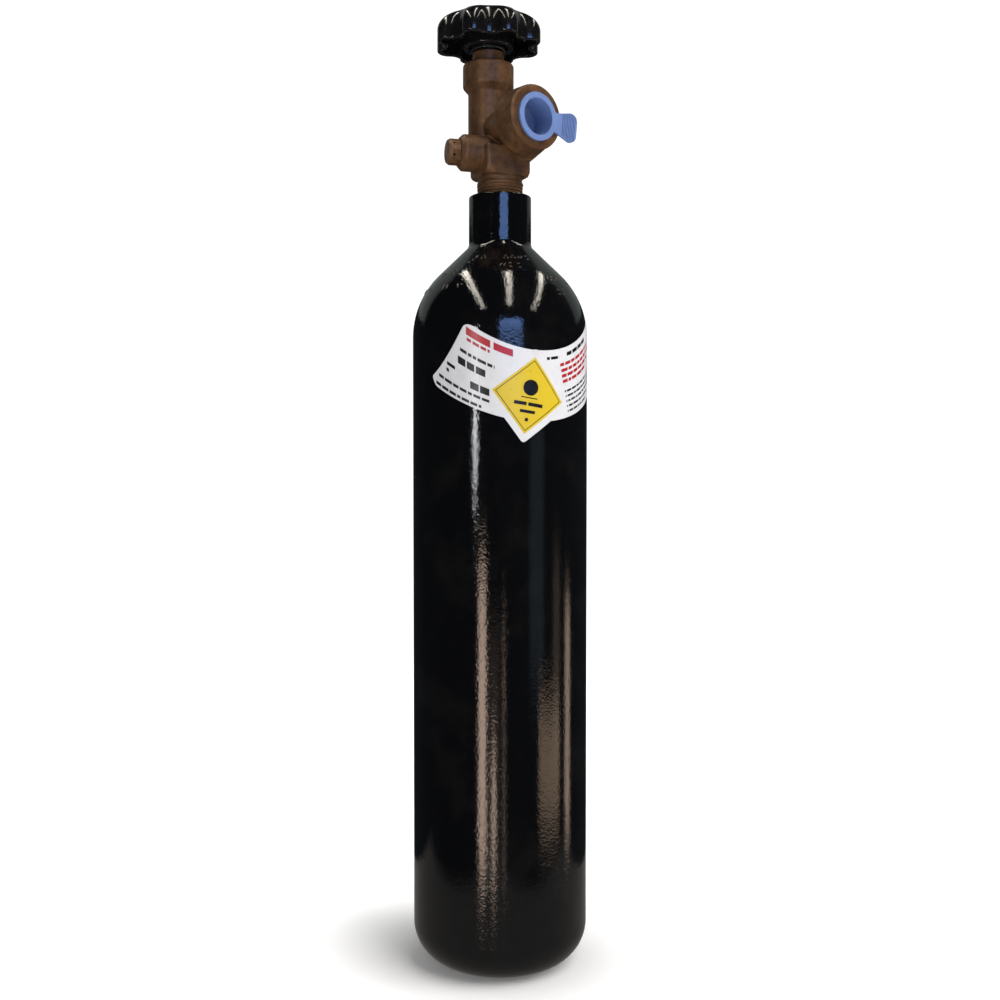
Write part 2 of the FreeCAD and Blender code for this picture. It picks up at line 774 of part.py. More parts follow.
def lobed(name, inset, low, high):
    """A prism with eight round lobes, drawn in by an inset."""
    body = new_body(name)
    half_step = math.radians(180.0 / LOBES)
    round_tool(body, "Additive", name + "_core", S.wheel_core_r - inset, high - low, z=low)
    lobe = round_tool(body, "Additive", name + "_lobe", S.lobe_r - inset, high - low,
                      x=S.lobe_ring_r * math.cos(half_step),
                      y=S.lobe_ring_r * math.sin(half_step), z=low)
    around(body, name + "_lobes", lobe, LOBES)
    within = SIZES["wheel_core_r"] - inset.value
    fillet(body, name + "_hollows", upright_edges(within - NEAR, within + NEAR),
           S.crease_r)
    return body


def dome(name, inset, low):
    """A round-shouldered turned blank, drawn in by an inset."""
    rim_r = S.wheel_rim_r - inset
    brow_r = S.wheel_brow_r - inset
    brow_z = S.wheel_brow_z - inset
    top = S.wheel_top - inset
    body = turned_body(name, [
        (ZERO, low), (rim_r, low), (rim_r, S.wheel_rim_z), (brow_r, brow_z),
        (S.wheel_crown_r, top), (ZERO, top)])
    fillet(body, name + "_rim", circle_at(rim_r, S.wheel_rim_z), S.rim_round - inset)
    fillet(body, name + "_brow", circle_at(brow_r, brow_z), S.brow_round - inset)
    fillet(body, name + "_crown", circle_at(S.wheel_crown_r, top), S.crown_round - inset)
    return body


def make_handwheel():
    """Hollow eight-lobed wheel with a hub ring, a driven boss and a well for its nut."""
    beyond = S.wheel_top + S.over
    below = S.wheel_low - S.over
    outside = common("wheel_outside", [
        lobed("wheel_plan", ZERO, S.wheel_low, beyond), dome("wheel_dome", ZERO, S.wheel_low)])
    hollow = common("wheel_hollow", [
        lobed("hollow_plan", S.wheel_wall, below, beyond), dome("hollow_dome", S.wheel_wall, below)])
    inside = S.wheel_top - S.wheel_wall + S.over
    hub = turned_body("hub", [
        (ZERO, S.boss_low), (S.boss_r, S.boss_low), (S.boss_r, S.hub_groove_top),
        (S.hub_in_r, S.hub_groove_top), (S.hub_in_r, S.hub_low), (S.hub_r, S.hub_low),
        (S.hub_r, inside), (ZERO, inside)])
    fillet(hub, "hub_lip", circle_at(S.hub_r, S.hub_low), S.hub_lip_r)
    hole = turned_body("wheel_bore", [
        (ZERO, S.boss_low - S.over), (S.boss_hole_r, S.boss_low - S.over),
        (S.boss_hole_r, S.square_low),
        (ZERO, S.square_low)])
    half = S.square_hole * 0.5
    pad(hole, "square_hole", rectangle(half, half), S.square_low - S.bite,
        S.well_floor - S.square_low + S.bite * 2.0)
    round_tool(hole, "Additive", "nut_well", S.well_r, beyond - S.well_floor, z=S.well_floor)
    wheel = cut("handwheel", fuse("wheel_solid", [cut("wheel_cup", outside, hollow), hub]), hole)
    return place(wheel, y=S.spindle_y, rotation=spun(WHEEL_TURN))


def make_wheel_nut():
    body = new_body("handwheel_nut")
    low = S.well_floor + S.hub_washer_thick
    pad(body, "nut_pad", hexagon(S.nut_across), low, S.nut_thick)
    round_tool(body, "Subtractive", "nut_hole", S.stud_r, S.nut_thick, z=low)
    return place(body, y=S.spindle_y)


# ---------------------------------------------------------------- burst disc assembly

def on_relief_axis(body, roll=0.0):
    return place(body, z=S.relief_z, rotation=turned_to(RELIEF_TURN) * spun(roll))


def relief_ring(name, inner, outer, low, thick):
    """A disc or ring on the relief axis; its inner radius may be zero."""
    return on_relief_axis(turned_body(name, ring_points(inner, outer, low, low + thick)))


def make_relief_plug():
    """Round-ended six-sided cap on a threaded shank, bored and cross-vented."""
    low = S.relief_ledge + S.disc_gasket_thick + S.disc_thick + S.disc_ring_thick
    body = turned_body("relief_plug", [
        (ZERO, low), (S.cap_shank_r, low), (S.cap_shank_r, S.cap_head_start),
        (S.cap_round_r - S.cap_foot_edge, S.cap_head_start),
        (S.cap_round_r, S.cap_head_start + S.cap_foot_edge),
        (S.cap_round_r, S.cap_end - S.cap_edge), (S.cap_edge_r, S.cap_end), (ZERO, S.cap_end)])
    half = S.cap_across * 0.5
    side = S.cap_round_r + S.over
    flat = pad(body, "flat", [(half, -side), (side, -side), (side, side), (half, side)],
               S.cap_head_start, S.cap_flats_end - S.cap_head_start, "Pocket")
    around(body, "flats", flat, HEX)
    round_tool(body, "Subtractive", "cap_bore", S.cap_bore_r, S.cap_bore_end - low, z=low)
    level = FreeCAD.Rotation(FreeCAD.Vector(0, 1, 0), 90.0)
    vent = round_tool(body, "Subtractive", "vent", S.vent_r, S.cap_round_r, z=S.vent_at,
                      rotation=level)
    around(body, "vents", vent, HEX)
    return on_relief_axis(body, CAP_TURN)


# ---------------------------------------------------------------- outlet plug

def tab_half_at(reach):
    """Half width of the tab's ribbed field at a distance from the plug's axis."""
    corner = SIZES["tab_corner_r"]
    grow = (reach - SIZES["tab_neck"]) / (SIZES["tab_wide_at"] - SIZES["tab_neck"])
    half = SIZES["tab_root_half"] + min(grow, 1.0) * (SIZES["tab_half"] - SIZES["tab_root_half"])
    past = reach - (SIZES["tab_reach"] - corner)
    if past > 0:
        half = SIZES["tab_half"] - corner + math.sqrt(corner ** 2 - past ** 2)
    return half - SIZES["rib_width"]


def make_outlet_plug():
    """Blind plastic plug: skirt in the bore, flange on the face, ribbed pull tab."""
    back = S.head_face + S.plug_gap
    front = back + S.plug_flange_thick
    body = turned_body("outlet_plug", [
        (ZERO, S.plug_end), (S.plug_skirt_r - S.plug_lead, S.plug_end),
        (S.plug_skirt_r, S.plug_end + S.plug_lead),
        (S.plug_skirt_r, back), (S.plug_flange_r, back), (S.plug_flange_r, front),
        (S.plug_hole_r, front), (S.plug_floor_r, S.plug_floor), (ZERO, S.plug_floor)])
    pad(body, "tab", [
        (S.tab_root, -S.tab_root_half), (S.tab_neck, -S.tab_root_half),
        (S.tab_wide_at, -S.tab_half), (S.tab_reach, -S.tab_half), (S.tab_reach, S.tab_half),
        (S.tab_wide_at, S.tab_half), (S.tab_neck, S.tab_root_half),
        (S.tab_root, S.tab_root_half)], back, S.plug_flange_thick)
    fillet(body, "tab_corners",
           upright_edges(SIZES["tab_reach"], SIZES["tab_reach"] + SIZES["tab_half"]), S.tab_corner_r)
    for i in range(RIBS):
        reach = SIZES["rib_first"] + i * SIZES["rib_pitch"]
        half = as_size(tab_half_at(reach))
        start = S.rib_first + S.rib_pitch * float(i)
        pad(body, f"rib_{i + 1}", [
            (start, -half), (start + S.rib_width, -half), (start + S.rib_width, half),
            (start, half)], front - S.rib_sink, S.rib_height + S.rib_sink)
    return place(body, z=S.outlet_z, rotation=turned_to(0) * spun(-TAB_DROP))


# ---------------------------------------------------------------- check and write

def check(parts):
    """Stop if any object failed or any shape is missing or broken."""
    for obj in DOC.Objects:
        if "Invalid" in obj.State or "Error" in obj.State:
            raise RuntimeError(f"{obj.Name} is {obj.State}")
    for name, obj in parts.items():
        if obj.Shape.isNull() or not obj.Shape.isValid():
            raise RuntimeError(f"{name} has no valid shape")
        print(f"{name}: {len(obj.Shape.Solids)} solid, {obj.Shape.Volume / 1000:.3f} cm3")


def main():
    fill_sheet()
    disc_low = S.relief_ledge + S.disc_gasket_thick
    parts = {
        "cylinder_shell": make_shell(),
        "thread_tape": make_tape(),
        "shoulder_label": make_label(),
        "valve_body": make_valve_body(),
        "gland_nut": make_gland(),
        "gland_gasket": spindle_ring("gland_gasket", S.gasket_in_r, S.gland_thread_r,
                                     S.gasket_ledge, S.gasket_ledge + S.gasket_thick),
        "thrust_washer": spindle_ring("thrust_washer", S.washer_in_r, S.washer_r,
                                      S.washer_low, S.washer_low + S.washer_thick),
        "upper_spindle": make_upper_spindle(),
        "stem_o_ring": make_o_ring(),
        "backup_ring": spindle_ring("backup_ring", S.groove_r, S.spindle_r, S.backup_low,
                                    S.backup_low + S.backup_thick),
        "lower_spindle": make_lower_spindle(),
        "seat_insert": spindle_ring("seat_insert", ZERO, S.seat_disc_r, S.seat_disc_low,
                                    S.seat_disc_top),
        "handwheel": make_handwheel(),
        "handwheel_washer": spindle_ring("handwheel_washer", S.hub_washer_in_r, S.hub_washer_r,
                                         S.well_floor, S.well_floor + S.hub_washer_thick),
        "handwheel_nut": make_wheel_nut(),
        "disc_gasket": relief_ring("disc_gasket", S.disc_gasket_in_r, S.disc_gasket_r,
                                   S.relief_ledge, S.disc_gasket_thick),
        "burst_disc": relief_ring("burst_disc", ZERO, S.disc_r, disc_low, S.disc_thick),
        "disc_ring": relief_ring("disc_ring", S.disc_ring_in_r, S.disc_gasket_r,
                                 disc_low + S.disc_thick, S.disc_ring_thick),
        "relief_plug": make_relief_plug(),
        "outlet_plug": make_outlet_plug(),
    }
    DOC.recompute()
    check(parts)
    os.makedirs("parts", exist_ok=True)
    for name, obj in parts.items():
        obj.Shape.exportStep(f"parts/{name}.step")


main()
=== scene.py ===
"""Portable oxygen cylinder: fine meshes round the CAD frame, finishes, studio and camera."""
import math
import random

import bmesh
import bpy
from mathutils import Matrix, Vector
from mathutils.geometry import delaunay_2d_cdt


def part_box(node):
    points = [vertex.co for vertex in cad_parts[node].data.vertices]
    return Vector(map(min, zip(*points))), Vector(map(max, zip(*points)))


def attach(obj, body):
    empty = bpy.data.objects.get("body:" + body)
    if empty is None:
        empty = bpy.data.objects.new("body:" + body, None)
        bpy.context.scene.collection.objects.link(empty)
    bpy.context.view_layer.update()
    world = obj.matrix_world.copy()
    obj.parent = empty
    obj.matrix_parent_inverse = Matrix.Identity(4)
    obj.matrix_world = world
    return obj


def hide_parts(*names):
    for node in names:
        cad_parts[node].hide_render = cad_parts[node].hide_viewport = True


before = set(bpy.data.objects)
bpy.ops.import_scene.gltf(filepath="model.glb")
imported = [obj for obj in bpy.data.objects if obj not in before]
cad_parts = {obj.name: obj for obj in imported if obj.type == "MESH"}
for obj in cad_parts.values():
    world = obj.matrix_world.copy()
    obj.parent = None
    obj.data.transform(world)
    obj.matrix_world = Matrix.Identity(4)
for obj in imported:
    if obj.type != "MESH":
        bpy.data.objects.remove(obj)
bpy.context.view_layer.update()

MM = 0.001

# ---------------------------------------------------------------- sizes, in millimetres

SHELL_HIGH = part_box("cylinder_shell")[1] / MM
WHEEL_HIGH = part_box("handwheel")[1] / MM
GLAND_LOW, GLAND_HIGH = (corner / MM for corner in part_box("gland_nut"))

# Places in the CAD
BODY_R = SHELL_HIGH.x
NECK_TOP = SHELL_HIGH.z
SPINDLE_Y = (GLAND_LOW.y + GLAND_HIGH.y) / 2
OUTLET_Z = 488.3
HEAD_FACE = 33.2

# Cylinder outline
DISH_R = 22.0
DISH_DEPTH = 6.0
BASE_EDGE_R = 24.0
KNEE_Z = 387.8
KNEE_R = 50.5
CONE_FOOT_Z = 419.5
NECK_R = 18.2
NECK_FILLET = 5.0
NECK_EDGE = 1.0
NECK_BORE_TOP_R = 13.36
NECK_BORE_FOOT_R = 11.55
NECK_BORE_FOOT_Z = 418.6
INSIDE_R = 48.0
INSIDE_KNEE_Z = 383.7
INSIDE_KNEE_R = 44.0
INSIDE_FLOOR_Z = 14.0
INSIDE_FLOOR_R = 20.0
SHELL_SEGMENTS = 256
DISH_STEPS = 10
WALL_STEPS_Z = (150.0, 260.0)

# Handwheel: eight lobes of tangent arcs, petals that fade out at the crown
LOBES = 8
LOBE_RING_R = 25.5
LOBE_R = 6.5
HOLLOW_RING_R = 33.25
HOLLOW_R = 7.25
HOLLOW_DEPTH_R = 26.0
LOBE_TIP_R = 32.0
WHEEL_TURN = 9.5
WHEEL_WALL = 2.7
SKIRT_Z = 538.0
BROW_Z = 544.5
CROWN_Z = WHEEL_HIGH.z
CROWN_R = 14.0
WELL_R = 9.0
WELL_FLOOR_Z = 548.7
ROOF_Z = 553.6
HUB_LOW_Z = 537.0
HUB_R = 14.8
HUB_IN_R = 11.4
GROOVE_TOP_Z = 545.0
BOSS_LOW_Z = 535.7
BOSS_R = 10.1
BOSS_HOLE_R = 4.6
ROOF_GAP = 1.5
CROWN_STEPS = 26
RIM_STEPS = 8
ROOF_STEPS = 12
SIDE_STEPS = 32

# Valve forging: stem below, faced outlet, tapped bore under the gland nut
WELD_REACH = 0.0005
FORGING_VOXEL = 0.36
RELAX_ROUNDS = 14
STEM_TOP_Z = 458.0
FACED_DEPTH = 4.0
FACED_R = 16.0
TAPPED_Z = 500.0
TAPPED_R = 11.6

# Label: the band's edges are plane curves, the upper lowest at BAND_TURN and the lower
# at FOOT_TURN; its ends are cut upright
LABEL_TURN = -5.5
BAND_TURN = -12.5
FOOT_TURN = -15.3
BAND_REACH = 60.0
BAND_HIGH_Z = 403.9
BAND_HIGH_DROP = 57.1
BAND_LOW_Z = 349.2
BAND_LOW_DROP = 38.8
ENDS_LOW_Z = 300.0
ENDS_HIGH_Z = 408.0
ENDS_LOW_HALF = 65.2
ENDS_HIGH_HALF = 29.6
BAND_HALF = 73.5
LABEL_CORNER_R = 4.5
DIAMOND_TURN = -19.8
DIAMOND_TILT = -8.7
DIAMOND_Z = 330.4
DIAMOND_HALF = 26.5
DIAMOND_CORNER_R = 2.0
FIELD_HALF = 21.3
FIELD_CORNER_R = 0.4
BORDER_HALF = 19.6
BORDER_WIDTH = 0.55

# Heights of the label's layers over the wall
FILM_TOP = 0.04
FILM_THICK = FILM_TOP * 0.9
PLATE_TOP = 0.045
FIELD_TOP = 0.053
PRINT_TOP = 0.057
MARK_TOP = 0.069
PRINT_THICK = 0.012
SKIN_STEP = 1.2

# Bars in place of print: ink, start and end in degrees from BAND_TURN, low and high as
# shares of the band's height
SOLID_BARS = (
    ("red", -47.5, -32.0, 0.845, 0.94), ("red", -30.0, -18.0, 0.845, 0.94),
    ("black", -53.0, -47.8, 0.44, 0.53), ("black", -46.9, -42.0, 0.44, 0.53),
    ("black", -41.1, -35.0, 0.44, 0.53), ("black", -61.5, -59.5, 0.26, 0.3),
    ("black", -44.7, -39.2, 0.22, 0.31), ("black", -38.4, -32.5, 0.22, 0.31),
)
BROKEN_BARS = (
    ("red", -47.0, -32.3, 0.775, 0.815), ("black", -51.5, -29.3, 0.6, 0.64),
    ("black", -61.0, -55.0, 0.335, 0.375), ("black", -67.5, -32.5, 0.135, 0.17),
    ("black", -70.0, -37.5, 0.03, 0.065), ("black", 4.5, 14.0, 0.865, 0.905),
    ("black", 21.0, 44.0, 0.865, 0.92), ("red", 15.0, 51.0, 0.745, 0.79),
    ("red", 16.0, 54.0, 0.66, 0.705), ("red", 16.5, 50.0, 0.58, 0.625),
    ("red", 17.3, 46.0, 0.5, 0.545),
)
# A list in five rows, each a short bar and a broken line, drawn in at both ends row by row
LIST_TOP = 0.36
LIST_STEP = 0.073
LIST_ROWS = 5
LIST_HIGH = 0.03
LIST_START = 19.2
LIST_START_STEP = 0.7
LIST_END = 60.0
LIST_END_STEP = 3.0
LIST_BAR = 1.0
LIST_INDENT = 2.0
WORD_SHORT = 2.0
WORD_LONG = 6.0
WORD_GAP = 0.9

# Marks in the diamond: left, right, low and high from its middle
DIAMOND_BARS = (
    (-8.4, -1.2, -5.6, -3.7), (-0.2, 8.4, -5.6, -3.7), (-4.4, 4.4, -9.7, -8.0),
    (-0.9, 0.9, -14.2, -12.4), (-4.8, 4.8, -1.5, -0.9),
)
DIAMOND_DISC_R = 4.4

# Camera, round the cylinder's axis
CAMERA_TURN = -38.5
CAMERA_DISTANCE = 712.1
CAMERA_HEIGHT = 293.1
CAMERA_DIP = 1.72
CAMERA_LENS = 43.5

# Studio: the world as diffuse light, as the backdrop, and as what gloss sees between panels
AMBIENT = 0.27
BACKDROP = 1.1
GLOOM = 0.03
KEY_HEIGHT = 1.9
KEY_SIDE = 2.0
KEY_DISTANCE = 1.5
FLOOR_SIDE = 6.0
# Floor glow: distance from the cylinder's foot in metres, low and high, mapped to glow strengths;
# the weak glow near the foot is a painted shadow
FLOOR_GLOW = (0.05, 0.14, 0.12, 0.85)
NEAR_FLOOR_SIDE = 0.4
NEAR_FLOOR_LIFT = 0.0005


# ---------------------------------------------------------------- outlines and meshes

def rounded(corners, steps=12):
    """An outline of (r, z) points; a corner given as (r, z, radius) becomes an arc."""
    points = []
    for i, corner in enumerate(corners):
        here = Vector(corner[:2])
        radius = corner[2] if len(corner) > 2 else 0.0
        if radius <= 0.0:
            points.append(here)
            continue
        back = (Vector(corners[i - 1][:2]) - here).normalized()
        on = (Vector(corners[(i + 1) % len(corners)][:2]) - here).normalized()
        half = back.angle(on) / 2
        centre = here + (back + on).normalized() * (radius / math.sin(half))
        start = here + back * (radius / math.tan(half)) - centre
        end = here + on * (radius / math.tan(half)) - centre
        for k in range(steps + 1):
            points.append(centre + start.normalized().slerp(end.normalized(), k / steps) * radius)
    return points


def new_object(name, mesh):
    piece = bpy.data.objects.new(name, mesh)
    bpy.context.scene.collection.objects.link(piece)
    return piece


def smooth(piece, angle=35.0):
    """Smooth shading, with edges sharper than the angle kept crisp."""
    for face in piece.data.polygons:
        face.use_smooth = True
    piece.data.set_sharp_from_angle(angle=math.radians(angle))
    return piece


def mesh_piece(name, points, faces, angle=35.0):
    """A piece from points in millimetres."""
    mesh = bpy.data.meshes.new(name)
    mesh.from_pydata([Vector(point) * MM for point in points], [], faces)
    mesh.validate()
    return smooth(new_object(name, mesh), angle)


def ring_surface(name, rings, closed, angle=35.0):
    """A surface through equal rings of points; a ring of one point is a pole."""
    points = []
    starts = []
    for ring in rings:
        starts.append(len(points))
        points.extend(ring)
    faces = []
    pairs = list(zip(range(len(rings)), range(1, len(rings))))
    if closed:
        pairs.append((len(rings) - 1, 0))
    for a, b in pairs:
        count = max(len(rings[a]), len(rings[b]))
        for i in range(count):
            j = (i + 1) % count
            low = [starts[a]] if len(rings[a]) == 1 else [starts[a] + i, starts[a] + j]
            high = [starts[b]] if len(rings[b]) == 1 else [starts[b] + j, starts[b] + i]
            faces.append(low + high)
    return mesh_piece(name, points, faces, angle)


def lathe(name, outline, segments, closed=False, centre=(0.0, 0.0), angle=35.0):
    """Turns (r, z) points about an upright axis."""
    rings = []
    for r, z in outline:
        if r < 1e-6:
            rings.append([(centre[0], centre[1], z)])
            continue
        rings.append([(centre[0] + r * math.cos(math.tau * i / segments),
                       centre[1] + r * math.sin(math.tau * i / segments), z)
                      for i in range(segments)])
    return ring_surface(name, rings, closed, angle)


def finish_piece(piece, body, slot, material, *replaced):
    """Gives a piece its body, its finish and the CAD nodes it stands for; the slot is not used."""
    piece.data.materials.clear()
    piece.data.materials.append(material)
    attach(piece, body)
    if replaced:
        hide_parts(*replaced)
    return piece


# ---------------------------------------------------------------- finishes

class Finish:
    """A node material on object coordinates, so every pattern is in real sizes."""

    def __init__(self, name, **values):
        self.material = bpy.data.materials.new(name)
        self.material.use_nodes = True
        self.tree = self.material.node_tree
        self.shader = self.tree.nodes["Principled BSDF"]
        self.where = self.tree.nodes.new("ShaderNodeTexCoord").outputs["Object"]
        self.height = None
        for socket, value in values.items():
            self.shader.inputs[socket.replace("_", " ")].default_value = value

    def node(self, kind, **settings):
        made = self.tree.nodes.new("ShaderNode" + kind)
        for name, value in settings.items():
            setattr(made, name, value)
        return made

    def put(self, value, socket):
        """A number, a colour or another node's output goes into a socket."""
        if isinstance(value, bpy.types.NodeSocket):
            self.tree.links.new(value, socket)
        elif isinstance(value, tuple):
            socket.default_value = value + (1.0,) * (len(socket.default_value) - len(value))
        else:
            socket.default_value = value

    def stretched(self, x, y, z):
        """Object coordinates scaled per axis."""
        mapping = self.node("Mapping")
        self.tree.links.new(self.where, mapping.inputs["Vector"])
        mapping.inputs["Scale"].default_value = (x, y, z)
        return mapping.outputs["Vector"]

    def noise(self, size, detail=3.0, roughness=0.55, where=None):
        """Soft noise with features of about this size in millimetres, from 0 to 1."""
        made = self.node("TexNoise")
        self.tree.links.new(where or self.where, made.inputs["Vector"])
        made.inputs["Scale"].default_value = 1.0 / (size * MM)
        made.inputs["Detail"].default_value = detail
        made.inputs["Roughness"].default_value = roughness
        return made.outputs["Fac"]

    def cells(self, size, feature="F1", where=None):
        made = self.node("TexVoronoi", feature=feature)
        self.tree.links.new(where or self.where, made.inputs["Vector"])
        made.inputs["Scale"].default_value = 1.0 / (size * MM)
        return made.outputs["Distance"]

    def span(self, value, low, high, to_low=0.0, to_high=1.0):
        """Maps low..high to to_low..to_high, and holds it there."""
        made = self.node("MapRange")
        self.put(value, made.inputs["Value"])
        for socket, number in zip(("From Min", "From Max", "To Min", "To Max"),
                                  (low, high, to_low, to_high)):
            made.inputs[socket].default_value = number
        return made.outputs["Result"]

    def calc(self, operation, a, b=0.0):
        made = self.node("Math", operation=operation)
        self.put(a, made.inputs[0])
        self.put(b, made.inputs[1])
        return made.outputs["Value"]

    def blend(self, factor, a, b):
        """Colour a where the factor is 0 and b where it is 1."""
        made = self.node("Mix", data_type="RGBA")
        self.put(factor, made.inputs[0])
        self.put(a, made.inputs[6])
        self.put(b, made.inputs[7])
        return made.outputs[2]

    def edges(self, reach):
        """1 on edges rounder than the reach in millimetres, 0 on flat ground."""
        bevel = self.node("Bevel", samples=6)
        bevel.inputs["Radius"].default_value = reach * MM
        normal = self.node("NewGeometry").outputs["Normal"]
        dot = self.node("VectorMath", operation="DOT_PRODUCT")
        self.tree.links.new(bevel.outputs["Normal"], dot.inputs[0])
        self.tree.links.new(normal, dot.inputs[1])
        return self.span(dot.outputs["Value"], 0.995, 0.9)

    def colour(self, value):
        self.put(value, self.shader.inputs["Base Color"])

    def rough(self, value):
        self.put(value, self.shader.inputs["Roughness"])

    def bump(self, value, depth):
        """Adds relief of this depth in millimetres."""
        made = self.node("Bump")
        made.inputs["Distance"].default_value = depth * MM
        self.put(value, made.inputs["Height"])
        if self.height is not None:
            self.tree.links.new(self.height, made.inputs["Normal"])
        self.height = made.outputs["Normal"]
        self.tree.links.new(self.height, self.shader.inputs["Normal"])


def black_paint():
    """Gloss enamel over steel, with orange peel, faint dust and a few rubs."""
    f = Finish("black_paint", Specular_IOR_Level=0.5)
    dust = f.span(f.noise(38.0, 5.0, 0.65), 0.52, 0.8)
    specks = f.span(f.cells(9.0), 0.05, 0.02)
    f.colour(f.blend(dust, (0.002, 0.0021, 0.0025), (0.007, 0.0067, 0.0066)))
    rubs = f.span(f.noise(4.0, 6.0, 0.7, f.stretched(1.0, 1.0, 0.16)), 0.6, 0.78)
    rough = f.span(f.noise(14.0, 4.0), 0.3, 0.75, 0.045, 0.09)
    rough = f.calc("ADD", rough, f.calc("MULTIPLY", rubs, 0.06))
    f.rough(f.calc("ADD", rough, f.calc("MULTIPLY", specks, 0.08)))
    f.bump(f.noise(7.0, 2.0, 0.5), 0.06)
    f.bump(f.noise(1.3, 2.0, 0.5), 0.07)
    return f.material


def stamped_paint():
    """Enamel over punched marks, in a noisy blend lighter and browner than the wall's."""
    f = Finish("stamped_paint", Specular_IOR_Level=0.5)
    f.colour(f.blend(f.noise(2.0, 3.0), (0.012, 0.011, 0.0095), (0.05, 0.045, 0.037)))
    f.rough(f.span(f.noise(1.5, 3.0), 0.3, 0.7, 0.16, 0.3))
    return f.material


def valve_brass():
    """Brown, tarnished forging with brighter edges and dark hollows."""
    f = Finish("valve_brass", Metallic=0.5, Specular_IOR_Level=0.5)
    patches = f.span(f.noise(9.0, 5.0, 0.62), 0.33, 0.7)
    grime = f.span(f.noise(3.2, 6.0, 0.7), 0.48, 0.72)
    base = f.blend(patches, (0.088, 0.04, 0.016), (0.2, 0.098, 0.04))
    base = f.blend(f.calc("MULTIPLY", grime, 0.75), base, (0.05, 0.025, 0.013))
    worn = f.calc("MULTIPLY", f.edges(0.7), f.span(f.noise(2.0, 4.0, 0.7), 0.4, 0.65))
    f.colour(f.blend(f.calc("MULTIPLY", worn, 0.75), base, (0.36, 0.23, 0.12)))
    f.rough(f.span(f.noise(2.4, 5.0, 0.6), 0.3, 0.72, 0.36, 0.56))
    f.bump(f.noise(2.6, 4.0, 0.6), 0.09)
    f.bump(f.noise(0.5, 2.0, 0.5), 0.03)
    return f.material


def spindle_brass():
    """Turned brass, with fine rings left by the tool."""
    f = Finish("spindle_brass", Metallic=1.0)
    f.colour(f.blend(f.noise(5.0, 4.0), (0.55, 0.38, 0.16), (0.68, 0.5, 0.25)))
    rings = f.noise(0.5, 2.0, 0.5, f.stretched(0.02, 0.02, 1.0))
    f.rough(f.span(rings, 0.3, 0.7, 0.22, 0.38))
    f.bump(rings, 0.01)
    return f.material


def wheel_plastic():
    """Hard black moulding with a polished skin, dulled a little by hands; its rounded edges carry a
    painted highlight, partly scuffing.
    """
    f = Finish("wheel_plastic", Specular_IOR_Level=0.5)
    handled = f.span(f.noise(8.0, 5.0, 0.6), 0.45, 0.75)
    base = f.blend(handled, (0.004, 0.004, 0.0045), (0.009, 0.0088, 0.0085))
    # Rounded edges blend to grey: a painted highlight where the edges catch light, partly edge
    # scuffing
    f.colour(f.blend(f.calc("MULTIPLY", f.edges(1.2), 0.7), base, (0.09, 0.09, 0.088)))
    f.rough(f.span(f.noise(3.0, 5.0, 0.65), 0.35, 0.75, 0.1, 0.2))
    f.bump(f.noise(5.0, 2.0, 0.5), 0.05)
    f.bump(f.noise(0.9, 2.0, 0.5), 0.006)
    return f.material


def plug_plastic():
    """Soft periwinkle polythene with a faint moulding grain."""
    f = Finish("plug_plastic", Specular_IOR_Level=0.45, Subsurface_Weight=0.2,
               Subsurface_Scale=0.0015)
    f.shader.inputs["Subsurface Radius"].default_value = (0.4, 0.6, 1.0)
    f.colour(f.blend(f.noise(6.0, 3.0), (0.1, 0.165, 0.375), (0.135, 0.205, 0.42)))
    f.rough(f.span(f.noise(1.6, 4.0), 0.3, 0.7, 0.34, 0.48))
    f.bump(f.noise(0.8, 2.0), 0.012)
    return f.material


def label_film():
    """Satin white vinyl, very slightly soiled."""
    f = Finish("label_film", Specular_IOR_Level=0.5)
    soil = f.span(f.noise(12.0, 6.0, 0.7), 0.5, 0.8)
    f.colour(f.blend(soil, (0.62, 0.62, 0.65), (0.53, 0.52, 0.54)))
    f.rough(f.span(f.noise(3.0, 4.0), 0.3, 0.7, 0.26, 0.36))
    f.bump(f.noise(7.0, 2.0, 0.5), 0.05)
    f.bump(f.noise(1.5, 2.0, 0.5), 0.012)
    return f.material


def ink(name, colour, wear=0.25):
    """Printed ink on the label, a little broken up."""
    f = Finish(name, Specular_IOR_Level=0.5)
    faded = f.calc("MULTIPLY", f.span(f.noise(1.1, 5.0, 0.75), 0.55, 0.8), wear)
    f.colour(f.blend(faded, colour, (0.68, 0.68, 0.7)))
    f.rough(f.span(f.noise(3.0, 4.0), 0.3, 0.7, 0.26, 0.36))
    return f.material


def plain_finish(name, light, dark, rough_low, rough_high, grain, depth, **values):
    """A two-tone finish with fine grain, for small pieces."""
    f = Finish(name, **values)
    f.colour(f.blend(f.noise(grain * 6.0, 4.0), dark, light))
    f.rough(f.span(f.noise(grain * 3.0, 4.0), 0.3, 0.7, rough_low, rough_high))
    f.bump(f.noise(grain, 3.0), depth)
    return f.material


PAINT = black_paint()
STAMPED = stamped_paint()
BRASS = valve_brass()
TURNED = spindle_brass()
WHEEL = wheel_plastic()
PLUG = plug_plastic()
FILM = label_film()
ZINC = plain_finish("fastener_steel", (0.55, 0.55, 0.54), (0.4, 0.4, 0.39), 0.24, 0.4, 0.8, 0.01,
                    Metallic=1.0)
SHEET = plain_finish("disc_metal", (0.6, 0.6, 0.58), (0.5, 0.5, 0.48), 0.2, 0.3, 1.0, 0.005,
                     Metallic=1.0)
TAPE = plain_finish("tape", (0.85, 0.85, 0.82), (0.74, 0.73, 0.69), 0.6, 0.75, 0.7, 0.03)
SEAL = plain_finish("seal_plastic", (0.72, 0.7, 0.62), (0.6, 0.58, 0.5), 0.45, 0.6, 1.0, 0.01)
RUBBER = plain_finish("seal_rubber", (0.03, 0.03, 0.03), (0.018, 0.018, 0.018), 0.55, 0.7, 0.6,
                      0.01)
FIBRE = plain_finish("fibre", (0.28, 0.11, 0.07), (0.19, 0.075, 0.05), 0.75, 0.9, 0.4, 0.03)

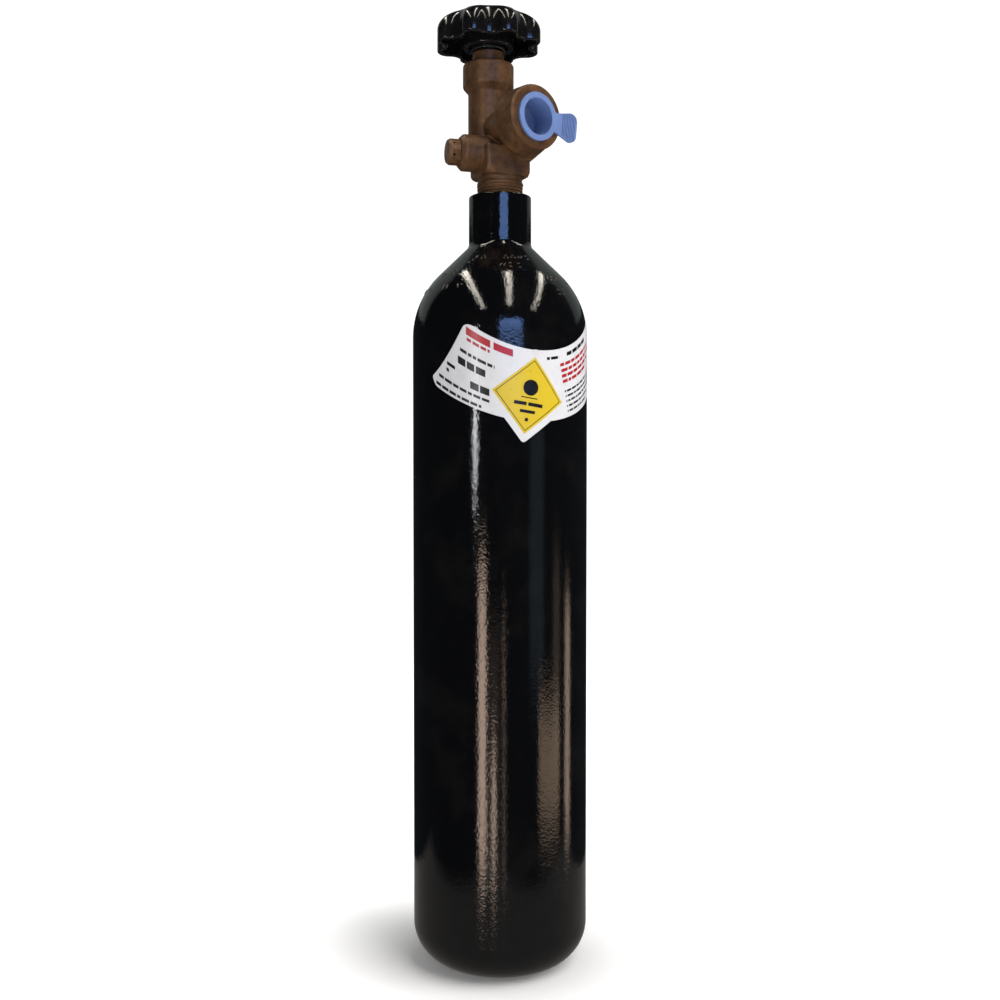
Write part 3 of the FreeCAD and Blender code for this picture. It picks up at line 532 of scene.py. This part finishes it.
NODE_FINISH = {
    "thread_tape": TAPE, "gland_nut": BRASS, "gland_gasket": FIBRE, "thrust_washer": SEAL,
    "upper_spindle": TURNED, "stem_o_ring": RUBBER, "backup_ring": SEAL,
    "lower_spindle": TURNED, "seat_insert": SEAL, "handwheel_washer": ZINC,
    "handwheel_nut": ZINC, "disc_gasket": SEAL, "burst_disc": SHEET, "disc_ring": TURNED,
    "relief_plug": BRASS, "outlet_plug": PLUG,
}
SOFT_EDGED = ("gland_nut", "relief_plug", "handwheel_nut", "outlet_plug")
SOFT_EDGE = 0.25


def finish_nodes():
    """The CAD nodes that stay get their finish, and softer edges where they show."""
    for name, material in NODE_FINISH.items():
        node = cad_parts[name]
        node.data.materials.clear()
        node.data.materials.append(material)
        if name in SOFT_EDGED:
            bevel = node.modifiers.new("soft_edges", "BEVEL")
            bevel.width = SOFT_EDGE * MM
            bevel.segments = 3
            bevel.limit_method = "ANGLE"
            bevel.angle_limit = math.radians(25)
            bevel.use_clamp_overlap = True


# ---------------------------------------------------------------- cylinder

def shell_outline():
    """The outside of the cylinder from the middle of its dished base to the neck's top."""
    dish_radius = (DISH_R ** 2 + DISH_DEPTH ** 2) / (2 * DISH_DEPTH)
    dish = []
    for i in range(DISH_STEPS + 1):
        r = DISH_R * i / DISH_STEPS
        dish.append((r, math.sqrt(dish_radius ** 2 - r ** 2) - dish_radius + DISH_DEPTH))
    wall = rounded([
        (DISH_R, 0.0), (BODY_R, 0.0, BASE_EDGE_R), *((BODY_R, z) for z in WALL_STEPS_Z),
        (BODY_R, KNEE_Z, KNEE_R), (NECK_R, CONE_FOOT_Z, NECK_FILLET), (NECK_R, NECK_TOP, NECK_EDGE),
        (NECK_BORE_TOP_R, NECK_TOP)], steps=28)
    return dish, [tuple(point) for point in wall[1:-1]]


DISH, OUTER_WALL = shell_outline()


def wall_at(height):
    """Radius of the outside and its outward normal (r, z) at a height up to the neck."""
    for (r0, z0), (r1, z1) in zip(OUTER_WALL, OUTER_WALL[1:]):
        if z0 < height <= z1:
            share = (height - z0) / (z1 - z0)
            normal = Vector((z1 - z0, r0 - r1)).normalized()
            return r0 + (r1 - r0) * share, normal
    return BODY_R, Vector((1.0, 0.0))


def make_shell():
    inside = rounded([
        (NECK_BORE_TOP_R, NECK_TOP), (NECK_BORE_FOOT_R, NECK_BORE_FOOT_Z),
        (INSIDE_R, INSIDE_KNEE_Z, INSIDE_KNEE_R), (INSIDE_R, INSIDE_FLOOR_Z, INSIDE_FLOOR_R),
        (0.0, INSIDE_FLOOR_Z)], steps=10)
    outline = DISH + OUTER_WALL + [tuple(point) for point in inside]
    shell = lathe("cylinder_paint_shell", outline, SHELL_SEGMENTS)
    return finish_piece(shell, "cylinder", "black_paint", PAINT, "cylinder_shell")


def on_wall(azimuth, height, lift=0.0):
    """The point over the wall at this azimuth from -Y and this height."""
    radius, normal = wall_at(height)
    turn = math.radians(azimuth)
    out = radius + normal.x * lift
    return Vector((out * math.sin(turn), -out * math.cos(turn), height + normal.y * lift))


# ---------------------------------------------------------------- stamped marks

def bead(points_on, radius, sides=8):
    """Rings of a rounded bead through points; its ends are drawn in."""
    rings = []
    count = len(points_on)
    for i, (point, across, up) in enumerate(points_on):
        edge = min(i, count - 1 - i) / max(1, count // 4)
        size = radius * math.sqrt(min(1.0, 0.15 + edge))
        rings.append([point + (across * math.cos(math.tau * k / sides)
                               + up * math.sin(math.tau * k / sides)) * size
                      for k in range(sides)])
    return rings


def stroke(azimuth, height, length, lean, radius):
    """One punched stroke on the shoulder, leaning by this many degrees from upright."""
    steps = 6
    path = []
    for i in range(steps + 1):
        along = length * (i / steps - 0.5)
        rise = along * math.cos(math.radians(lean))
        z = height + rise * wall_at(height)[1].x
        wall_r, normal = wall_at(z)
        side = math.degrees(along * math.sin(math.radians(lean)) / wall_r)
        turn = math.radians(azimuth + side)
        out = Vector((math.sin(turn), -math.cos(turn), 0.0))
        up = (out * normal.x + Vector((0.0, 0.0, normal.y))).normalized()
        path.append((on_wall(azimuth + side, z, -radius * STAMP_SINK), up))
    points_on = []
    for i, (point, up) in enumerate(path):
        ahead = path[min(i + 1, steps)][0] - path[max(i - 1, 0)][0]
        across = ahead.cross(up).normalized()
        points_on.append((point, across, up))
    return bead(points_on, radius)


# Marks to choose from; each stroke's place across and above, its length, all as shares of
# the mark's size, and its lean in degrees
STAMP_STROKES = (
    ((0.0, 0.0, 0.8, 0.0),),
    ((-0.3, 0.0, 0.8, 0.0), (0.3, 0.0, 0.8, 0.0)),
    ((-0.25, 0.0, 0.75, 28.0), (0.25, 0.0, 0.75, 28.0)),
    ((0.0, 0.3, 0.5, 90.0), (0.0, -0.3, 0.5, 90.0)),
    ((-0.2, 0.0, 0.8, -24.0), (0.3, 0.1, 0.35, 90.0)),
    ((-0.3, -0.2, 0.4, 0.0), (0.0, 0.2, 0.4, 0.0), (0.3, -0.2, 0.4, 0.0)),
    ((0.0, 0.0, 0.2, 0.0),),
)

STAMP_R = 0.6
STAMP_SINK = 0.35
STAMP_PITCH = 1.15
STAMP_GAPS = 0.16
STAMP_STRAY = 0.4
STAMP_LEAN = 5.0

# Rows of marks round the shoulder: start, end, height, size of a mark
STAMP_ROWS = (
    (-118.0, -62.0, 392.5, 4.6),
    (-112.0, -70.0, 401.0, 4.2),
    (-36.0, -8.0, 404.5, 4.0),
    (-66.0, 10.0, 410.0, 3.6),
    (-6.0, 42.0, 397.5, 4.4),
    (8.0, 48.0, 389.5, 4.4),
    (150.0, 205.0, 399.0, 4.4),
)


def make_stamps():
    """Plain punched dashes and dots, standing as beads under the paint."""
    chance = random.Random(7)
    points = []
    faces = []
    for start, end, height, size in STAMP_ROWS:
        pitch = math.degrees(size * STAMP_PITCH / wall_at(height)[0])
        for k in range(int((end - start) / pitch)):
            if chance.random() < STAMP_GAPS:
                continue
            azimuth = start + k * pitch + chance.uniform(-STAMP_STRAY, STAMP_STRAY)
            level = height + chance.uniform(-STAMP_STRAY, STAMP_STRAY)
            for across, above, length, lean in chance.choice(STAMP_STROKES):
                side = math.degrees(across * size / wall_at(level)[0])
                rings = stroke(azimuth + side, level + above * size, length * size,
                               lean + chance.uniform(-STAMP_LEAN, STAMP_LEAN), STAMP_R)
                first = len(points)
                sides = len(rings[0])
                for ring in rings:
                    points.extend(ring)
                for i in range(len(rings) - 1):
                    for j in range(sides):
                        a = first + i * sides + j
                        b = first + i * sides + (j + 1) % sides
                        faces.append((a, b, b + sides, a + sides))
                last = first + (len(rings) - 1) * sides
                faces.append(tuple(range(first + sides - 1, first - 1, -1)))
                faces.append(tuple(range(last, last + sides)))
    stamps = mesh_piece("shoulder_stamps", points, faces, 60.0)
    return finish_piece(stamps, "cylinder", "black_paint", STAMPED)


# ---------------------------------------------------------------- label

def wrapped(name, outline, lift, thick, spacing=SKIN_STEP):
    """A thin skin on the wall from a flat outline of (azimuth, height) points."""
    scale = math.radians(1.0) * BODY_R
    flat = [Vector((azimuth * scale, height)) for azimuth, height in outline]
    lows = [min(point[i] for point in flat) for i in (0, 1)]
    highs = [max(point[i] for point in flat) for i in (0, 1)]
    inner = []
    x = lows[0] + spacing / 2
    while x < highs[0]:
        y = lows[1] + spacing / 2
        while y < highs[1]:
            here = Vector((x, y))
            if inside(here, flat) and clear_of(here, flat, spacing * 0.45):
                inner.append(here)
            y += spacing
        x += spacing
    count = len(flat)
    made = delaunay_2d_cdt(flat + inner, [(i, (i + 1) % count) for i in range(count)],
                           [], 1, 1e-5)
    points = [on_wall(point.x / scale, point.y, lift) for point in made[0]]
    skin = mesh_piece(name, points, [tuple(reversed(face)) for face in made[2]])
    bm = bmesh.new()
    bm.from_mesh(skin.data)
    bmesh.ops.recalc_face_normals(bm, faces=bm.faces)
    outward = sum(face.normal.dot(Vector((*face.calc_center_median().xy, 0.0)))
                  for face in bm.faces)
    if outward < 0.0:
        bmesh.ops.reverse_faces(bm, faces=bm.faces)
    bm.to_mesh(skin.data)
    bm.free()
    solid = skin.modifiers.new("thickness", "SOLIDIFY")
    solid.thickness = thick * MM
    solid.offset = -1.0
    return skin


def inside(point, loop):
    crossings = 0
    for a, b in zip(loop, loop[1:] + loop[:1]):
        if (a.y > point.y) != (b.y > point.y):
            if point.x < a.x + (point.y - a.y) / (b.y - a.y) * (b.x - a.x):
                crossings += 1
    return crossings % 2 == 1


def clear_of(point, loop, gap):
    return all((point - a).length_squared > gap * gap for a in loop)


def band_height(offset, share):
    """Height in the band, from its foot at share 0 to its top at share 1."""
    high = BAND_HIGH_Z - BAND_HIGH_DROP * BODY_R * math.cos(math.radians(offset)) / BAND_REACH
    from_foot = math.radians(offset + BAND_TURN - FOOT_TURN)
    low = BAND_LOW_Z - BAND_LOW_DROP * BODY_R * math.cos(from_foot) / BAND_REACH
    return low + (high - low) * share


def band_end(share, side):
    """How far round an end of the band lies from BAND_TURN, at a share of its height."""
    near = 10.0
    far = BAND_HALF
    halvings = 30
    for _ in range(halvings):
        offset = (near + far) / 2
        grow = (band_height(offset, share) - ENDS_LOW_Z) / (ENDS_HIGH_Z - ENDS_LOW_Z)
        half = ENDS_LOW_HALF + (ENDS_HIGH_HALF - ENDS_LOW_HALF) * grow
        across = BODY_R * math.sin(math.radians(side * offset + BAND_TURN - LABEL_TURN))
        if side * across < half:
            near = offset
        else:
            far = offset
    return near


def on_band(offset, share):
    return (BAND_TURN + offset, band_height(offset, share))


def band_outline():
    """The band's edge, with round corners."""
    steps = 130
    end_steps = 40
    corner = math.degrees(LABEL_CORNER_R / BODY_R)
    rise = 0.1
    shares = [0.5 - 0.5 * math.cos(math.pi * i / end_steps) for i in range(end_steps + 1)]

    def end(share, side):
        beyond = max(0.0, rise - min(share, 1.0 - share)) / rise
        return side * (band_end(share, side) - corner * (1.0 - math.sqrt(1.0 - beyond ** 2)))

    left, right = end(0.0, -1), end(0.0, 1)
    edge = [on_band(left + (right - left) * i / steps, 0.0) for i in range(steps)]
    edge += [on_band(end(share, 1), share) for share in shares]
    left, right = end(1.0, -1), end(1.0, 1)
    edge += [on_band(right + (left - right) * i / steps, 1.0) for i in range(1, steps)]
    edge += [on_band(end(share, -1), share) for share in reversed(shares[1:])]
    return edge


def strip(start, end, low, high):
    """A bar on the band between two offsets in degrees and two shares of its height."""
    steps = max(2, int(abs(end - start) / SKIN_STEP))
    foot = [on_band(start + (end - start) * i / steps, low) for i in range(steps + 1)]
    top = [on_band(end - (end - start) * i / steps, high) for i in range(steps + 1)]
    return foot + top


def words(row, start, end, low, high, chance):
    """A row of short bars with gaps, in place of a line of print."""
    here = start
    while here < end:
        length = chance.uniform(WORD_SHORT, WORD_LONG)
        row.append(strip(here, min(end, here + length), low, high))
        here += length + WORD_GAP


def in_diamond(points, spacing=SKIN_STEP):
    """An outline in the diamond's own millimetres as close (azimuth, height) points."""
    tilt = math.radians(DIAMOND_TILT)
    out = []
    for a, b in zip(points, points[1:] + points[:1]):
        steps = max(1, int(math.dist(a, b) / spacing))
        for i in range(steps):
            x = a[0] + (b[0] - a[0]) * i / steps
            y = a[1] + (b[1] - a[1]) * i / steps
            across = x * math.cos(tilt) - y * math.sin(tilt)
            above = x * math.sin(tilt) + y * math.cos(tilt)
            out.append((DIAMOND_TURN + math.degrees(across / BODY_R), DIAMOND_Z + above))
    return out


def diamond(half, radius):
    """A diamond's edge with round corners."""
    return rounded([(0.0, -half, radius), (half, 0.0, radius), (0.0, half, radius),
                    (-half, 0.0, radius)], 6)


def joined(name, parts):
    """Several skins as one object; their thickness is made real first."""
    depsgraph = bpy.context.evaluated_depsgraph_get()
    bm = bmesh.new()
    for part in parts:
        evaluated = part.evaluated_get(depsgraph)
        mesh = bpy.data.meshes.new_from_object(evaluated)
        bm.from_mesh(mesh)
        bpy.data.meshes.remove(mesh)
        bpy.data.objects.remove(part)
    mesh = bpy.data.meshes.new(name)
    bm.to_mesh(mesh)
    bm.free()
    return smooth(new_object(name, mesh), 30.0)


def make_label():
    """The film, its yellow diamond, and plain bars where print would stand."""
    film = joined("label_film", [
        wrapped("band", band_outline(), FILM_TOP, FILM_THICK),
        wrapped("plate", in_diamond(diamond(DIAMOND_HALF, DIAMOND_CORNER_R)), PLATE_TOP,
                FILM_THICK)])
    finish_piece(film, "cylinder", "label_film", FILM, "shoulder_label")
    yellow = joined("label_diamond", [
        wrapped("field", in_diamond(diamond(FIELD_HALF, FIELD_CORNER_R)), FIELD_TOP,
                PRINT_THICK)])
    finish_piece(yellow, "cylinder", "label_film", ink("label_yellow", (0.6, 0.43, 0.014), 0.04))
    chance = random.Random(3)
    bars = {"black": [], "red": []}
    for tint, *limits in SOLID_BARS:
        bars[tint].append(strip(*limits))
    for tint, *limits in BROKEN_BARS:
        words(bars[tint], *limits, chance)
    for i in range(LIST_ROWS):
        low = LIST_TOP - LIST_STEP * i
        start = LIST_START + LIST_START_STEP * i
        bars["black"].append(strip(start, start + LIST_BAR, low, low + LIST_HIGH))
        words(bars["black"], start + LIST_INDENT, LIST_END - LIST_END_STEP * i,
              low, low + LIST_HIGH, chance)
    marks = [box_points(*limits) for limits in DIAMOND_BARS]
    marks.append(round_mark(DIAMOND_DISC_R, (0.0, DIAMOND_DISC_R)))
    outer = [(0.0, -BORDER_HALF), (BORDER_HALF, 0.0), (0.0, BORDER_HALF), (-BORDER_HALF, 0.0)]
    share = 1.0 - BORDER_WIDTH / BORDER_HALF
    for (x0, y0), (x1, y1) in zip(outer, outer[1:] + outer[:1]):
        marks.append([(x0, y0), (x1, y1), (x1 * share, y1 * share), (x0 * share, y0 * share)])
    black = [wrapped(f"bar_{i}", outline, PRINT_TOP, PRINT_THICK)
             for i, outline in enumerate(bars["black"])]
    black += [wrapped(f"mark_{i}", in_diamond(outline), MARK_TOP, PRINT_THICK)
              for i, outline in enumerate(marks)]
    printed = joined("label_print_black", black)
    finish_piece(printed, "cylinder", "label_film", ink("label_black", (0.006, 0.006, 0.008), 0.03))
    headed = joined("label_print_red", [wrapped(f"red_{i}", outline, PRINT_TOP, PRINT_THICK)
                                        for i, outline in enumerate(bars["red"])])
    finish_piece(headed, "cylinder", "label_film", ink("label_red", (0.36, 0.012, 0.02), 0.1))


def box_points(left, right, low, high):
    return [(left, low), (right, low), (right, high), (left, high)]


def round_mark(radius, centre, steps=32):
    return [(centre[0] + radius * math.cos(math.tau * i / steps),
             centre[1] + radius * math.sin(math.tau * i / steps)) for i in range(steps)]


# ---------------------------------------------------------------- handwheel

def plan_radius(turn):
    """Radius of the wheel's plan at an angle in radians from the middle of a lobe."""
    step = math.tau / LOBES
    off = abs((turn + step / 2) % step - step / 2)
    tangent = math.atan2(LOBE_R * (HOLLOW_RING_R * math.sin(step / 2)),
                         (LOBE_R + HOLLOW_R) * LOBE_RING_R
                         + LOBE_R * (HOLLOW_RING_R * math.cos(step / 2) - LOBE_RING_R))
    if off < tangent:
        return LOBE_RING_R * math.cos(off) + math.sqrt(
            LOBE_R ** 2 - (LOBE_RING_R * math.sin(off)) ** 2)
    off = step / 2 - off
    return HOLLOW_RING_R * math.cos(off) - math.sqrt(
        HOLLOW_R ** 2 - (HOLLOW_RING_R * math.sin(off)) ** 2)


def wheel_outlines():
    """The wheel's section on a lobe and in a hollow, as matching (r, z) points."""
    lobe = []
    hollow = []

    def both(lobe_r, lobe_z, hollow_r, hollow_z):
        lobe.append((lobe_r, lobe_z))
        hollow.append((hollow_r, hollow_z))

    def same(r, z):
        both(r, z, r, z)

    for point in rounded([(BOSS_HOLE_R, WELL_FLOOR_Z), (WELL_R, WELL_FLOOR_Z, 0.8),
                          (WELL_R, CROWN_Z - 0.2, 0.9), (WELL_R + 2.0, CROWN_Z - 0.1)], 5):
        same(*point)
    for i in range(CROWN_STEPS + 1):
        turn = math.pi / 2 * (1.0 - i / CROWN_STEPS)
        r = CROWN_R + (LOBE_TIP_R - CROWN_R) * math.cos(turn)
        z = BROW_Z + (CROWN_Z - BROW_Z) * math.sin(turn)
        both(r, z, r - (LOBE_TIP_R - HOLLOW_DEPTH_R) * math.cos(turn) ** 2, z)
    half = WHEEL_WALL / 2
    for i in range(RIM_STEPS + 1):
        turn = math.pi * i / RIM_STEPS
        drop = half * math.sin(turn)
        out = half * (math.cos(turn) - 1.0)
        both(LOBE_TIP_R + out, SKIRT_Z + half - drop, HOLLOW_DEPTH_R + out, SKIRT_Z + half - drop)
    roof_r = HUB_R + ROOF_GAP
    for i in range(ROOF_STEPS + 1):
        turn = math.pi / 2 * i / ROOF_STEPS
        z = BROW_Z + (ROOF_Z - BROW_Z) * math.sin(turn)
        both(roof_r + (LOBE_TIP_R - WHEEL_WALL - roof_r) * math.cos(turn), z,
             roof_r + (HOLLOW_DEPTH_R - WHEEL_WALL - roof_r) * math.cos(turn), z)
    for point in rounded([(HUB_R + 1.0, ROOF_Z), (HUB_R, ROOF_Z, 0.9), (HUB_R, HUB_LOW_Z, 1.3),
                          (HUB_IN_R, HUB_LOW_Z, 1.3), (HUB_IN_R, GROOVE_TOP_Z, 0.4),
                          (BOSS_R, GROOVE_TOP_Z, 0.4), (BOSS_R, BOSS_LOW_Z, 0.5),
                          (BOSS_HOLE_R, BOSS_LOW_Z, 0.3), (BOSS_HOLE_R, WELL_FLOOR_Z)], 5)[1:-1]:
        same(*point)
    return lobe, hollow


def make_handwheel():
    lobe, hollow = wheel_outlines()
    segments = LOBES * SIDE_STEPS
    first_lobe = math.radians(WHEEL_TURN + 180.0 / LOBES)
    rings = []
    for (lobe_r, lobe_z), (hollow_r, hollow_z) in zip(lobe, hollow):
        ring = []
        for i in range(segments):
            turn = math.tau * i / segments
            share = (plan_radius(turn) - HOLLOW_DEPTH_R) / (LOBE_TIP_R - HOLLOW_DEPTH_R)
            r = hollow_r + (lobe_r - hollow_r) * share
            z = hollow_z + (lobe_z - hollow_z) * share
            ring.append((r * math.cos(turn + first_lobe),
                         SPINDLE_Y + r * math.sin(turn + first_lobe), z))
        rings.append(ring)
    wheel = ring_surface("handwheel_moulding", rings, True, 60.0)
    return finish_piece(wheel, "wheel", "wheel_plastic", WHEEL, "handwheel")


# ---------------------------------------------------------------- valve body

def make_valve():
    """The forging, remeshed and relaxed so that its edges and junctions are soft."""
    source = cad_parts["valve_body"]
    mesh = source.data.copy()
    mesh.name = "valve_forging"
    forging = new_object("valve_forging", mesh)
    bm = bmesh.new()
    bm.from_mesh(mesh)
    bmesh.ops.remove_doubles(bm, verts=bm.verts, dist=WELD_REACH * MM)
    bm.to_mesh(mesh)
    bm.free()
    remesh = forging.modifiers.new("even_mesh", "REMESH")
    remesh.mode = "VOXEL"
    remesh.voxel_size = FORGING_VOXEL * MM
    remesh.use_smooth_shade = True
    depsgraph = bpy.context.evaluated_depsgraph_get()
    forging.data = bpy.data.meshes.new_from_object(forging.evaluated_get(depsgraph))
    forging.data.name = "valve_forging"
    forging.modifiers.clear()
    relax = forging.vertex_groups.new(name="relax")
    for vertex in forging.data.vertices:
        relax.add([vertex.index], forged(vertex.co / MM), "REPLACE")
    soften = forging.modifiers.new("soften", "SMOOTH")
    soften.factor = 0.5
    soften.iterations = RELAX_ROUNDS
    soften.vertex_group = "relax"
    depsgraph = bpy.context.evaluated_depsgraph_get()
    forging.data = bpy.data.meshes.new_from_object(forging.evaluated_get(depsgraph))
    forging.data.name = "valve_forging"
    forging.modifiers.clear()
    smooth(forging, 180.0)
    return finish_piece(forging, "cylinder", "valve_brass", BRASS, "valve_body")


def forged(point):
    """How far a point of the valve may relax: little on machined faces and the thread."""
    if point.z < STEM_TOP_Z:
        return 0.15
    from_outlet = math.hypot(point.x, point.z - OUTLET_Z)
    if point.y < -HEAD_FACE + FACED_DEPTH and from_outlet < FACED_R:
        return 0.3
    from_spindle = math.hypot(point.x, point.y - SPINDLE_Y)
    if point.z > TAPPED_Z and from_spindle < TAPPED_R:
        return 0.1
    return 1.0


# ---------------------------------------------------------------- studio

def direction(azimuth):
    """Level unit vector towards this azimuth, counted from the camera's side."""
    turn = math.radians(CAMERA_TURN + azimuth)
    return Vector((math.sin(turn), -math.cos(turn), 0.0))


def area_light(name, place, target, width, height, colour, radiance, mirror_only=False):
    """A panel that either lights the object or is only mirrored in it."""
    light = bpy.data.lights.new(name, "AREA")
    light.shape = "RECTANGLE"
    light.size = width
    light.size_y = height
    light.color = colour
    light.energy = radiance * math.pi * width * height
    lamp = bpy.data.objects.new(name, light)
    bpy.context.scene.collection.objects.link(lamp)
    lamp.location = place
    lamp.rotation_euler = (target - place).to_track_quat("-Z", "Y").to_euler()
    lamp.visible_camera = False
    if mirror_only:
        lamp.visible_diffuse = False
        lamp.visible_transmission = False
        lamp.visible_volume_scatter = False
    else:
        lamp.visible_glossy = False
    return lamp


def panel(name, azimuth, low, high, width, colour, radiance, distance=1.5):
    """An upright panel seen only in reflections, facing the cylinder."""
    place = direction(azimuth) * distance + Vector((0.0, 0.0, (low + high) / 2))
    target = Vector((0.0, 0.0, (low + high) / 2))
    return area_light(name, place, target, width, high - low, colour, radiance, True)


def ceiling_strip(name, near, far, width, radiance, height=2.39):
    """A long strip overhead, from one (right, towards the camera) point to another."""
    ends = [direction(90.0) * right + direction(0.0) * out for right, out in (near, far)]
    middle = (ends[0] + ends[1]) / 2 + Vector((0.0, 0.0, height))
    along = ends[1] - ends[0]
    lamp = area_light(name, middle, middle - Vector((0.0, 0.0, 1.0)), width, along.length,
                      (1.0, 0.93, 0.82), radiance, True)
    lamp.rotation_euler = (0.0, 0.0, math.atan2(along.y, along.x) - math.pi / 2)
    return lamp


def make_studio():
    world = bpy.data.worlds.new("studio")
    bpy.context.scene.world = world
    world.use_nodes = True
    tree = world.node_tree
    tree.nodes.clear()
    rays = tree.nodes.new("ShaderNodeLightPath")
    output = tree.nodes.new("ShaderNodeOutputWorld")
    shades = []
    for colour, strength in (((1.0, 0.985, 0.97, 1.0), AMBIENT),
                             ((1.0, 1.0, 1.0, 1.0), BACKDROP), ((0.5, 0.6, 0.7, 1.0), GLOOM)):
        shade = tree.nodes.new("ShaderNodeBackground")
        shade.inputs["Color"].default_value = colour
        shade.inputs["Strength"].default_value = strength
        shades.append(shade.outputs["Background"])
    for rule, other in (("Is Camera Ray", shades[1]), ("Is Glossy Ray", shades[2])):
        choice = tree.nodes.new("ShaderNodeMixShader")
        tree.links.new(rays.outputs[rule], choice.inputs["Fac"])
        tree.links.new(shades[0], choice.inputs[1])
        tree.links.new(other, choice.inputs[2])
        shades[0] = choice.outputs["Shader"]
    tree.links.new(shades[0], output.inputs["Surface"])

    target = Vector((0.0, 0.0, 0.35))
    area_light("key", direction(55.0) * KEY_DISTANCE + Vector((0.0, 0.0, KEY_HEIGHT)), target,
               KEY_SIDE, KEY_SIDE, (1.0, 0.985, 0.96), 4.0)
    tan = (1.0, 0.74, 0.58)
    blue = (0.24, 0.44, 1.0)
    panel("floor_glow_left", -22.5, -0.46, 0.10, 0.25, tan, 8.0)
    panel("floor_haze_left", -8.0, -0.47, 0.0, 0.4, tan, 0.35)
    panel("floor_glow_middle", -8.0, -0.45, -0.2, 0.12, tan, 7.5, 1.45)
    panel("floor_line_middle", 5.0, -0.43, 0.04, 0.04, tan, 3.0, 1.4)
    panel("floor_patch_right", 67.0, -0.365, -0.14, 0.85, (1.0, 0.72, 0.5), 2.2)
    panel("floor_haze_right", 78.0, -0.22, 0.12, 0.3, (1.0, 0.76, 0.56), 0.5, 1.6)
    panel("floor_glow_right", 98.0, -0.39, 0.05, 0.24, tan, 3.2)
    panel("pale_door", -31.5, 0.26, 0.62, 0.06, (0.95, 0.97, 1.0), 34.0)
    panel("blue_window", 14.0, 0.7, 0.9, 0.78, blue, 6.5)
    panel("blue_window_foot", 14.0, 0.51, 0.688, 0.78, blue, 5.0)
    panel("grey_wall", 48.0, -0.1, 0.45, 0.5, (0.6, 0.8, 1.0), 0.25)
    panel("back_left", -148.0, 0.75, 2.2, 1.6, (0.9, 1.0, 0.95), 0.3)
    panel("back_right", 148.0, 0.75, 2.2, 1.6, (0.9, 1.0, 0.95), 0.25)
    ceiling_strip("strip_left", (-1.22, 2.86), (-1.02, -0.91), 0.16, 16.0)
    ceiling_strip("strip_middle", (0.6, 2.6), (0.17, -0.4), 0.18, 14.0)
    ceiling_strip("strip_right", (2.49, 2.31), (1.15, -1.02), 0.16, 14.0)
    area_light("near_floor", Vector((0.0, 0.0, NEAR_FLOOR_LIFT)), Vector((0.0, 0.0, 1.0)),
               NEAR_FLOOR_SIDE, NEAR_FLOOR_SIDE, (1.0, 0.93, 0.85), 0.2, True)


def make_floor():
    """A pale floor that glows as painted light; the glow is weak near the cylinder's foot, a
    painted shadow round its base.
    """
    side = FLOOR_SIDE
    floor = new_object("floor", bpy.data.meshes.new("floor"))
    floor.data.from_pydata([(-side, -side, 0.0), (side, -side, 0.0), (side, side, 0.0),
                            (-side, side, 0.0)], [], [(0, 1, 2, 3)])
    finish = Finish("floor", Roughness=0.9, Specular_IOR_Level=0.1)
    finish.shader.inputs["Emission Color"].default_value = (1.0, 1.0, 1.0, 1.0)
    away = finish.node("VectorMath", operation="LENGTH")
    finish.tree.links.new(finish.where, away.inputs[0])
    # Painted light: emission grows with distance from the foot, leaving a painted shadow round the
    # base
    glow = finish.span(away.outputs["Value"], *FLOOR_GLOW)
    finish.tree.links.new(glow, finish.shader.inputs["Emission Strength"])
    finish.colour((0.96, 0.96, 0.96))
    floor.data.materials.append(finish.material)
    floor.visible_glossy = False
    floor.visible_shadow = False


def make_camera():
    camera = bpy.data.objects.new("camera", bpy.data.cameras.new("camera"))
    bpy.context.scene.collection.objects.link(camera)
    camera.data.lens = CAMERA_LENS
    camera.data.sensor_width = 36.0
    camera.location = direction(0.0) * CAMERA_DISTANCE * MM
    camera.location.z = CAMERA_HEIGHT * MM
    camera.rotation_euler = (math.radians(90.0 - CAMERA_DIP), 0.0, math.radians(CAMERA_TURN))
    camera.data.clip_start = 0.01
    bpy.context.scene.camera = camera
    bpy.context.scene.view_settings.view_transform = "Standard"


finish_nodes()
make_shell()
make_stamps()
make_label()
make_handwheel()
make_valve()
make_studio()
make_floor()
make_camera()
